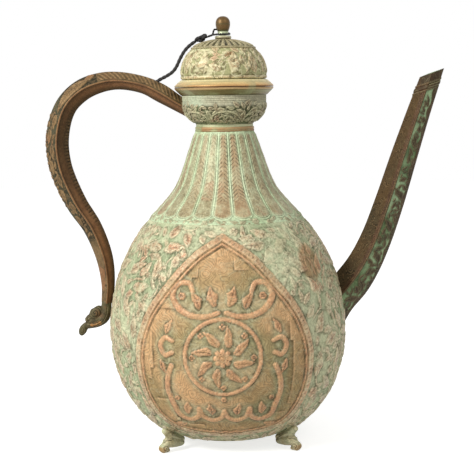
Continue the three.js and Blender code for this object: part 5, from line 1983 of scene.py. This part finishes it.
@dataclass
class HandleScroll:
    """The cast scroll under the handle: a whorl, a lobe, a curling belly and a drop.

    Attributes:
        strands: What it is built up from, as rows of (x from the axis, height, radius) in millimetres.
        chased: The lines cut into it besides the whorl, as rows of (x, height).
        rubbed: The spots rubbed bright, as (x, height, radius).
        whorl: The middle of the whorl, as (x, height).
    """

    strands: tuple[tuple[Triple, ...], ...] = (
        (
            (-98.0, 111.0, 4.1), (-98.6, 105, 4.3), (-100.4, 99.4, 4.3), (-105.0, 95.8, 3.8),
            (-111.4, 93.7, 3.0), (-115.4, 92.6, 2.1),
        ),
        ((-104.4, 105.6, 3.9), (-107.2, 103.6, 4.5), (-108.4, 101.6, 4.2)),
        ((-112.0, 99.6, 2.7), (-113.2, 98.2, 2.7)),
        ((-104.0, 98.4, 3.6), (-108.6, 97.4, 3.4), (-111.6, 97.2, 2.6)),
        ((-115.4, 93.8, 2.1), (-117.4, 90.2, 3.3), (-118.6, 87.6, 2.6), (-119.1, 85.8, 1.0)),
    )
    chased: tuple[tuple[Pair, ...], ...] = (
        ((-97.2, 109), (-98.4, 102), (-101.8, 96.4), (-108, 92.6)),
        ((-102.6, 97.6), (-106.8, 95.6), (-112.6, 95.2)),
        ((-111.6, 100.6), (-113.4, 99.8), (-113.6, 97.8), (-112, 97.2)),
        ((-117.6, 92.2), (-116.6, 89.8), (-118, 87.4), (-119.4, 89.6), (-118.2, 91.6)),
    )
    rubbed: tuple[Triple, ...] = (
        (-104.0, 95.6, 2.4), (-107.0, 94.6, 2.2), (-110.0, 94.2, 1.8),
    )
    whorl: Pair = (-107.1, 103.9)

    def build(self, finish: Finish) -> None:
        """Builds the scroll."""
        cast = CastPiece("handle_scroll_cast", voxel=0.36)
        for strand in self.strands:
            cast.strand([(x, 0, z, radius) for x, z, radius in strand], 0.95)
        cast.rubbed += self.rubbed
        x, z = self.whorl
        turns = np.linspace(0.2, 4.1 * math.pi, 44)
        cast.line([(x + 0.36 * t * math.cos(-t), z + 0.40 * t * math.sin(-t)) for t in turns])
        for line in self.chased:
            cast.line(line)
        scroll = cast.cast(None, shift=AXIS_X / MM)
        settle(scroll, Body.VESSEL, Slot.DARK, finish, "handle_scroll")


@dataclass
class Feet:
    """Four cast feet: a leaf under the body, a leg, a rolled toe and a lobe that curls in.

    Attributes:
        aside: How far round from the front or the back each foot stands, in degrees.
        names: The feet's solids.
        strands: What a foot is built up from, as rows of (outward, across, height, radius) in millimetres,
            each with how much wider than high it is.
        chased: The lines cut into its lobe and its leg, as rows of (outward, height).
        veins: How far under the first the leaf's lines lie.
        toe: The middle of the toe's whorl.
        rubbed: The spot rubbed bright, as (outward, height, radius).
    """

    aside: float = 47
    names: tuple[str, ...] = ("foot_front_left", "foot_front_right", "foot_back_right", "foot_back_left")
    strands: tuple[tuple[tuple[tuple[float, ...], ...], float], ...] = (
        (
            (
                (69.6, 0, 17.0, 2.4), (66.5, 0, 15.2, 3.3), (62, 0, 12.0, 3.5), (57.4, 0, 9.4, 3.3),
                (53.4, 0, 8.0, 2.9), (52.6, 0, 7.6, 2.7),
            ),
            1.12,
        ),
        (((66.2, 0, 14.4, 3.2), (64.8, 0, 11, 3.0), (66.6, 0, 8, 3.1), (69.6, 0, 5.2, 3.2)), 1.12),
        (((66.4, 0, 7.4, 4.2), (61.0, 0, 6.6, 4.3), (56.4, 0, 5.8, 3.7), (53.6, 0, 5.2, 3.1)), 1.12),
        (((71.4, -1.1, 3.5, 3.2), (71.4, 1.1, 3.5, 3.2)), 0.9),
        (((67.6, 0, 1.6, 1.8), (71.6, 0, 1.6, 1.8)), 1.7),
    )
    chased: tuple[tuple[Pair, ...], ...] = (
        ((54.6, 10.2), (51.6, 9.2), (51.0, 6.8), (53.2, 6.2), (54, 8)),
        ((66.2, 9.6), (68.6, 9.9), (71.2, 8.4)),
    )
    veins: tuple[float, ...] = (0, 1.7, 3.4)
    toe: Pair = (71.6, 3.6)
    rubbed: Triple = (73.6, 2.6, 3.4)

    def angles(self) -> tuple[float, ...]:
        """Where each foot stands, in degrees round the axis."""
        return (-90 - self.aside, -90 + self.aside, 90 - self.aside, 90 + self.aside)

    def build(self, finish: Finish) -> None:
        """Builds the feet."""
        turns = np.linspace(0.4, 3.3 * math.pi, 30)
        toe = [(self.toe[0] + 0.27 * t * math.cos(t), self.toe[1] + 0.27 * t * math.sin(t)) for t in turns]
        for name, angle in zip(self.names, self.angles()):
            cast = CastPiece(f"{name}_cast", voxel=0.4)
            for strand, spread in self.strands:
                cast.strand(strand, spread)
            for drop in self.veins:
                start, middle = (68.6 - drop, 18.6 - 1.4 * drop), (62 - drop, 14.6 - drop)
                cast.line([start, middle, (55.5 - drop / 2, 10.6 - drop)])
            for line in (*self.chased, toe):
                cast.line(line)
            cast.rubbed.append(self.rubbed)
            foot = cast.cast(0.0, turn=angle, shift=AXIS_X / MM)
            settle(foot, Body.VESSEL, Slot.DARK, finish, name)


SCROLL_FIELD = Palette.of((74, 76, 50), (46, 42, 26), (88, 78, 52), (66, 52, 34), (120, 78, 48))
SCROLL_RUBBED = Palette.of((178, 126, 70), (140, 94, 50), (184, 132, 76), (150, 102, 56), (190, 140, 86))
SCROLL_PATINA = Patina(
    "scroll_patina", SCROLL_FIELD, SCROLL_RUBBED, tone(28, 24, 12), tone(140, 128, 88), line_share=1.0,
    bloom=0.4, hair_share=0.0, gloss=0.25, vein=0.15,
)
CAST_FIELD = Palette.of((176, 188, 150), (116, 120, 84), (206, 202, 166), (166, 150, 110), (166, 124, 86))
CAST_RUBBED = Palette.of((158, 128, 80), (122, 98, 58), (164, 132, 84), (132, 106, 64), (158, 116, 70))
CAST_PATINA = Patina(
    "cast_patina", CAST_FIELD, CAST_RUBBED, tone(52, 46, 26), tone(222, 206, 166), bloom=0.6,
    metal=0.25, hair_share=0.0, vein=0.3,
)


@dataclass
class Rims:
    """The mouth's rim, and the lid's rim that shuts on it."""

    rows: int = 36
    columns: int = 240

    def turned(self, name: str, points: Sequence[Pair], inside: Sequence[Pair]) -> Piece:
        """One plain turned ring."""
        return Outline(np.array(points, float), self.rows).plain(name, self.columns, inside)

    def build(self) -> None:
        """Builds both rims."""
        points = [(32.6, 276.9), (33.9, 276.95), (34.8, 277.6), (37.7, 280.4), (39.1, 281.8), (39.4, 283.2)]
        mouth = self.turned("mouth_rim_skin", points, [(31.2, 283.2), (31.2, 271.4), (32.5, 271.4)])
        bands = (
            (276.9, tone(88, 80, 44)), (278.4, tone(114, 102, 60)), (280.8, tone(112, 98, 56)),
            (281.8, tone(180, 152, 104)), (283.2, tone(120, 88, 54)),
        )
        finish = RuledBrass("mouth_brass", bands, tone(150, 156, 112))
        settle(mouth, Body.VESSEL, Slot.PALE, finish.material(), "mouth_rim")
        points = [(32.0, 283.5), (39.2, 283.5), (39.5, 284.3), (37.2, 286.6), (34.4, 289.0), (33.2, 289.3)]
        lid = self.turned("lid_rim_skin", points, [(31.3, 289.3), (31.3, 283.5)])
        # The palest band, at the top, is painted highlight on the lip's upper face.
        bands = (
            (283.5, tone(104, 62, 38)), (284.2, tone(188, 146, 92)), (286.4, tone(214, 186, 128)),
            (288.2, tone(224, 212, 162)),
        )
        finish = RuledBrass("lid_brass", bands, tone(174, 164, 118), stain_share=0.7)
        settle(lid, Body.LID, Slot.PALE, finish.material(), "lid_rim")


LID_FIELD = Palette.of((194, 194, 148), (166, 164, 116), (198, 180, 138), (184, 154, 114), (192, 146, 112))
LID_SPOT = Palette.of((150, 108, 58), (126, 88, 46), (156, 110, 62), (132, 90, 50), (160, 108, 66))
LID_PATINA = Patina(
    "lid_patina", LID_FIELD, LID_SPOT, tone(92, 80, 44), tone(222, 214, 172), line_share=1.0,
    bloom=0.35, metal=0.1, hair_share=0.0, vein=0.75, vein_scale=66,
)
CAP_FIELD = Palette.of((110, 102, 60), (86, 80, 44), (178, 166, 126), (146, 132, 94), (154, 120, 84))
CAP_PATINA = Patina(
    "cap_patina", CAP_FIELD, CAP_FIELD, tone(40, 34, 18), tone(210, 200, 160), line_share=1.0,
    bloom=0.45, metal=0.15, hair_share=0.0, vein=0.3, vein_scale=160,
)


@dataclass
class LidDome:
    """The lid's pale dome, engraved with light leaves over a raised foot band.

    Attributes:
        curve: The profile, as bezier takes it.
        leaves: How many large leaves go round it.
        stains: Its brown ovals: (turn, height), size, aim in degrees and share.
        foot_band: Where along the wall its raised band starts and ends.
        foot_line: Where the line over the band is.
    """

    curve: tuple[Pair, ...] = ((33.4, 289.6), (34.9, 294.6), (34.2, 305.2), (25.0, 313.2))
    wall: float = 1.4
    rows: int = 72
    columns: int = 480
    leaves: int = 10
    stains: tuple[tuple[Pair, Pair, float, float], ...] = (
        ((0.021, 308.4), (8.4, 4.4), 38, 1), ((-0.1, 300), (9, 4.6), 10, 0.35),
    )
    foot_band: Pair = (0.3, 2.6)
    foot_line: float = 3.1

    def build(self) -> None:
        """Builds the dome."""
        outline = Outline(bezier(*self.curve), self.rows)
        skin = outline.skin(self.columns)
        run = skin.run[:, None] + 0 * skin.turn
        low, high = self.foot_band
        skin.press(EVERYWHERE, np.clip(np.minimum(run - low, high - run) / 0.6, 0, 1) ** 0.6, 0.6)
        skin.engrave(EVERYWHERE, ruled(run, self.foot_line, 0.5), 0.25)
        skin.taken[:] = run < 3.6
        for k in range(self.leaves):
            aim, bend = (66, 0.35) if k % 2 else (114, -0.35)
            skin.leaf(((k + 0.3) / self.leaves - 0.5, 4.4), math.radians(aim), 18, 11, bend, 2, 0.7)
        leaves = Foliage(seed=57, tries=300, long=10, short=4.4, lift=0.5)
        leaves.fill(skin, 3.4, skin.run[-1] - 0.5)
        leaves.tendrils(skin, 3.4, skin.run[-1] - 0.5, 260)
        for (turn, height), *oval in self.stains:
            skin.stain((turn, outline.run_at(height)), *oval)
        skin.roughen(8, 0.03, 1)
        dome = outline.turned("lid_dome_skin", skin, outline.inner_face(self.wall, 6))
        settle(dome, Body.LID, Slot.PATINA, LID_PATINA.material(), "lid_dome")


@dataclass
class LidCap:
    """The fluted cap of the lid, beaded at its edge.

    Attributes:
        start: The profile's rim.
        curve: The rest of the profile, as bezier takes it.
        inside: The inner face, from its top down.
        gadroons: How many flutes go round it.
        edge_bead: Where along the wall its bead starts and ends.
        edge_lines: Where the lines beside the bead are, and half their breadths.
        fluting: Where the flutes begin, are whole, start to fade and end.
    """

    start: tuple[Pair, ...] = ((22.5, 313.3), (25.1, 313.3), (25.5, 313.7), (25.5, 314.3), (24.8, 314.8))
    curve: tuple[Pair, ...] = ((24.4, 314.9), (20.8, 318.2), (12.4, 319.9), (6.6, 321.1))
    inside: tuple[Pair, ...] = ((2.6, 321.1), (2.6, 319.7), (6.6, 319.5), (17.0, 316.4), (21.4, 313.6))
    gadroons: int = 29
    edge_bead: Pair = (2.4, 4.7)
    edge_lines: tuple[Pair, ...] = ((5.1, 0.5), (1.6, 0.7))
    fluting: tuple[float, float, float, float] = (4.8, 6.4, 20, 23)
    rows: int = 96
    columns: int = 540

    def build(self) -> None:
        """Builds the cap."""
        points = np.vstack([self.start, bezier(*self.curve), [(4.0, 321.1)]])
        outline = Outline(points, self.rows)
        skin = outline.skin(self.columns)
        across = np.abs(((skin.turn * self.gadroons + 0.5) % 1) * 2 - 1)[None, :]
        run = skin.run[:, None]
        begin, whole, fade, end = self.fluting
        rise = ease(run, begin, whole) * (1 - ease(run, fade, end))
        ridge = np.clip(1 - (across / 0.66) ** 2.2, 0, 1) ** 0.5
        fine = np.minimum(1.0, skin.girth[:, None] / self.gadroons / 4.5)
        skin.lift += rise * fine * (1.0 * ridge - 0.55)
        skin.raised[:] = ease(ridge + 0 * run, 0.45, 0.8) * rise + (1 - rise)
        low, high = self.edge_bead
        bead = np.clip(np.minimum(run - low, high - run) / 0.5, 0, 1)
        skin.lift += 0.25 * bead
        for at, half in self.edge_lines:
            skin.engrave(EVERYWHERE, ruled(run, at, half), 0.2)
        deep = 0.55 + 0.7 * (1 - ease(run, 7.5, 12))
        skin.cut[:] = np.maximum(skin.cut, np.clip((across * 3 - 1.6) * deep, 0, 1) * rise)
        cap = outline.turned("lid_cap_skin", skin, self.inside)
        settle(cap, Body.LID, Slot.PATINA, CAP_PATINA.material(), "lid_cap")


@dataclass
class Finial:
    """The knob on the lid: a pale ringed foot, a short stem and a polished ball."""

    base: tuple[Pair, ...] = (
        (2.5, 321.4), (6.2, 321.4), (6.5, 322.0), (6.5, 322.8), (5.8, 323.7), (2.5, 323.9),
    )
    stem: tuple[Pair, ...] = (
        (0.3, 316.2), (2.2, 316.2), (2.2, 324.2), (4.5, 324.2), (4.3, 325.2), (4.2, 326.2),
    )
    ball: tuple[Pair, ...] = ((4.3, 327.2), (7.0, 332.8), (6.1, 339.0), (0.05, 339.0))
    columns: int = 96

    def build(self) -> None:
        """Builds the knob and its foot."""
        outline = Outline(np.array(self.base), 40)
        foot = outline.plain("finial_foot", self.columns)
        bands = ((321.4, tone(110, 94, 64)), (322.3, tone(172, 164, 132)), (323.6, tone(186, 186, 152)))
        finish = RuledBrass("finial_foot_brass", bands, tone(126, 100, 72), stain_share=0.75)
        settle(foot, Body.LID, Slot.PATINA, finish.material(), "finial_base")
        outline = Outline(np.vstack([self.stem, bezier(*self.ball)]), 150)
        knob = outline.plain("finial_knob_skin", self.columns)
        bands = (
            (324.2, tone(196, 204, 172)), (326.6, tone(176, 184, 146)), (327.4, tone(72, 68, 36)),
            (329, tone(98, 74, 38)),
        )
        finish = RuledBrass("knob_brass", bands, tone(76, 74, 44), 0.55, metal=0.6, rough=0.4)
        settle(knob, Body.LID, Slot.KNOB, finish.material(), "finial_knob")


@dataclass
class Tether:
    """The black cord from the handle to the knob: two plies, a knot and a thin loop round the stem.

    The cord itself moves with no body; the knot and the loop go with the tether's head, the stopper with the
    vessel.
    """

    route: tuple[Pair, ...] = (
        (56.3, 285.8), (54.1, 287.8), (51.8, 289.4), (49.2, 290.8), (46.4, 292.2), (43.7, 293.7),
        (41.2, 295.4), (39.1, 297.5), (37.4, 300.0), (36.1, 302.5), (34.9, 305.1), (33.6, 307.6),
        (32.2, 310.0), (30.7, 312.2), (29.0, 314.2), (27.1, 316.0), (24.9, 317.7), (23.1, 318.9),
        (21.2, 319.9),
    )
    loop: tuple[Triple, ...] = (
        (-13.2, 1.0, 322.8), (-11.0, 1.3, 323.5), (-9.0, 1.9, 324.3), (-8.0, 2.6, 325.7),
        (-7.6, 3.4, 327.4), (-6.8, 4.5, 328.8), (-4.8, 6.0, 329.0), (-2.2, 6.9, 328.5),
        (0.6, 6.8, 327.5), (3.1, 5.3, 326.4), (4.8, 2.8, 325.5), (5.2, 0.1, 325.0), (4.6, -2.6, 324.8),
        (2.8, -4.5, 324.75), (0.2, -5.3, 324.75), (-2.6, -4.8, 324.75), (-5.0, -3.4, 324.7),
        (-7.3, -2.0, 324.5), (-9.4, -1.3, 324.1), (-11.4, -1.1, 323.4), (-13.4, -1.0, 322.6),
    )
    diameter: float = 2.8
    thin: float = 1.5
    pitch: float = 7.2
    knot_pitch: float = 5.0
    loop_pitch: float = 4.2
    knot_strand: float = 2.5
    stopper_half: float = 2.5
    stopper_strand: float = 1.6
    knot_middle: Triple = (-17.4, 0, 321.9)
    knot_tilt: float = 0.44
    knot_half: float = 5.4
    stopper_middle: Pair = (58.5, 283.8)
    lifts_from: int = 7

    def twisted(self, name: str, path: Grid, diameter: float, pitch: float) -> Piece:
        """Two plies laid round each other along a path, in millimetres.

        Args:
            name: The object's name.
            path: The middle line.
            diameter: The cord's whole diameter.
            pitch: How far along one ply goes once round.
        """
        run = run_of(path)
        way = unit(np.gradient(path, axis=0))
        side = unit(np.cross(way, (0, 1, 0.02)))
        up = np.cross(side, way)
        angle = np.linspace(0, 2 * math.pi, 28, endpoint=False)[None, :]
        ply = np.abs(np.cos(angle - run[:, None] * 2 * math.pi / pitch))
        radius = diameter / 2 * (0.78 + 0.22 * ply**0.8)
        ends = np.sqrt(np.clip(np.minimum(run, run[-1] - run) / (diameter / 2), 0.05, 1))
        radius = radius * ends[:, None]
        offset = side[:, None] * np.cos(angle)[..., None] + up[:, None] * np.sin(angle)[..., None]
        grid = path[:, None] + offset * radius[..., None]
        marks = np.zeros(grid.shape[:2] + (4,))
        marks[..., 0] = ply**3
        grid[..., 0] += AXIS_X / MM
        return mesh_object(name, grid, marks, False)

    def knotted(self, name: str, middle: Sequence[float], half: float, strand: float) -> Piece:
        """A small tight knot of the same cord."""
        t = np.linspace(0, 2 * math.pi, 221)
        across, up = np.sin(t) + 2 * np.sin(2 * t), np.cos(t) - 2 * np.cos(2 * t)
        flat = np.stack([across, -np.sin(3 * t), up], axis=1)
        room = np.array([half - strand / 2, 1.35 * half / 4.4, 1.45 * half / 4.4])
        flat = flat / np.array([2.76, 1.0, 3.0]) * room
        turn = self.knot_tilt
        path = flat.copy()
        path[:, 0] = flat[:, 0] * math.cos(turn) - flat[:, 2] * math.sin(turn) + middle[0]
        path[:, 1] += middle[1]
        path[:, 2] = flat[:, 0] * math.sin(turn) + flat[:, 2] * math.cos(turn) + middle[2]
        return self.twisted(name, path, strand, self.knot_pitch)

    def build(self) -> None:
        finish = BlackCord().material()
        places = [(-out, 0.0, height) for out, height in self.route]
        path = smooth_path(places, 420)
        cord = self.twisted("cord_plies", path, self.diameter, self.pitch)
        knot = self.knotted("cord_knot", self.knot_middle, self.knot_half, self.knot_strand)
        line = np.array(self.loop)
        line = np.vstack([1.9 * line[0] - 0.9 * line[1], line, 1.9 * line[-1] - 0.9 * line[-2]])
        loop = self.twisted("cord_loop", smooth_path(line, 280), self.thin, self.loop_pitch)
        out, height = self.stopper_middle
        stopper = self.knotted("cord_stopper", (-out, 0, height), self.stopper_half, self.stopper_strand)
        settle(knot, Body.TETHER, Slot.CORD, finish, "tether_knot")
        settle(loop, Body.TETHER, Slot.CORD, finish, "tether_loop")
        settle(stopper, Body.VESSEL, Slot.CORD, finish, "tether_stopper")
        settle(cord, None, Slot.CORD, finish, "tether_cord")
        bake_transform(cord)


def dress_solids() -> None:
    """Gives the solids that stay showing their finishes."""
    pale = RubbedMetal("pale_inner_brass", tone(186, 160, 108), tone(150, 134, 88), tone(140, 150, 108))
    green = tone(126, 142, 100)
    patina = RubbedMetal("base_patina", tone(140, 128, 88), tone(104, 100, 66), green, 0.5, 0.6)
    inner, base = pale.material(), patina.material()
    for name, finish in (("lid_sleeve", inner), ("finial_washer", inner), ("base_plate", base)):
        materials = bpy.data.objects[name].data.materials
        materials.clear()
        materials.append(finish)
        log.info("%s: finished", name)


def main() -> None:
    """Builds the studio and the jug."""
    logging.basicConfig(level=logging.INFO, format="%(message)s")
    Studio().build()
    Tether().build()
    belly = Belly().build(BODY_PATINA.material())
    Neck().build(NECK_PATINA.material())
    NeckRing().build()
    bowl = CollarBowl().build(COLLAR_PATINA.material())
    Rims().build()
    cast = CAST_PATINA.material()
    Handle().build(bowl)
    HandleScroll().build(SCROLL_PATINA.material())
    Spout().build(belly)
    Feet().build(cast)
    LidDome().build()
    LidCap().build()
    Finial().build()
    dress_solids()


if __name__ == "__main__":
    main()
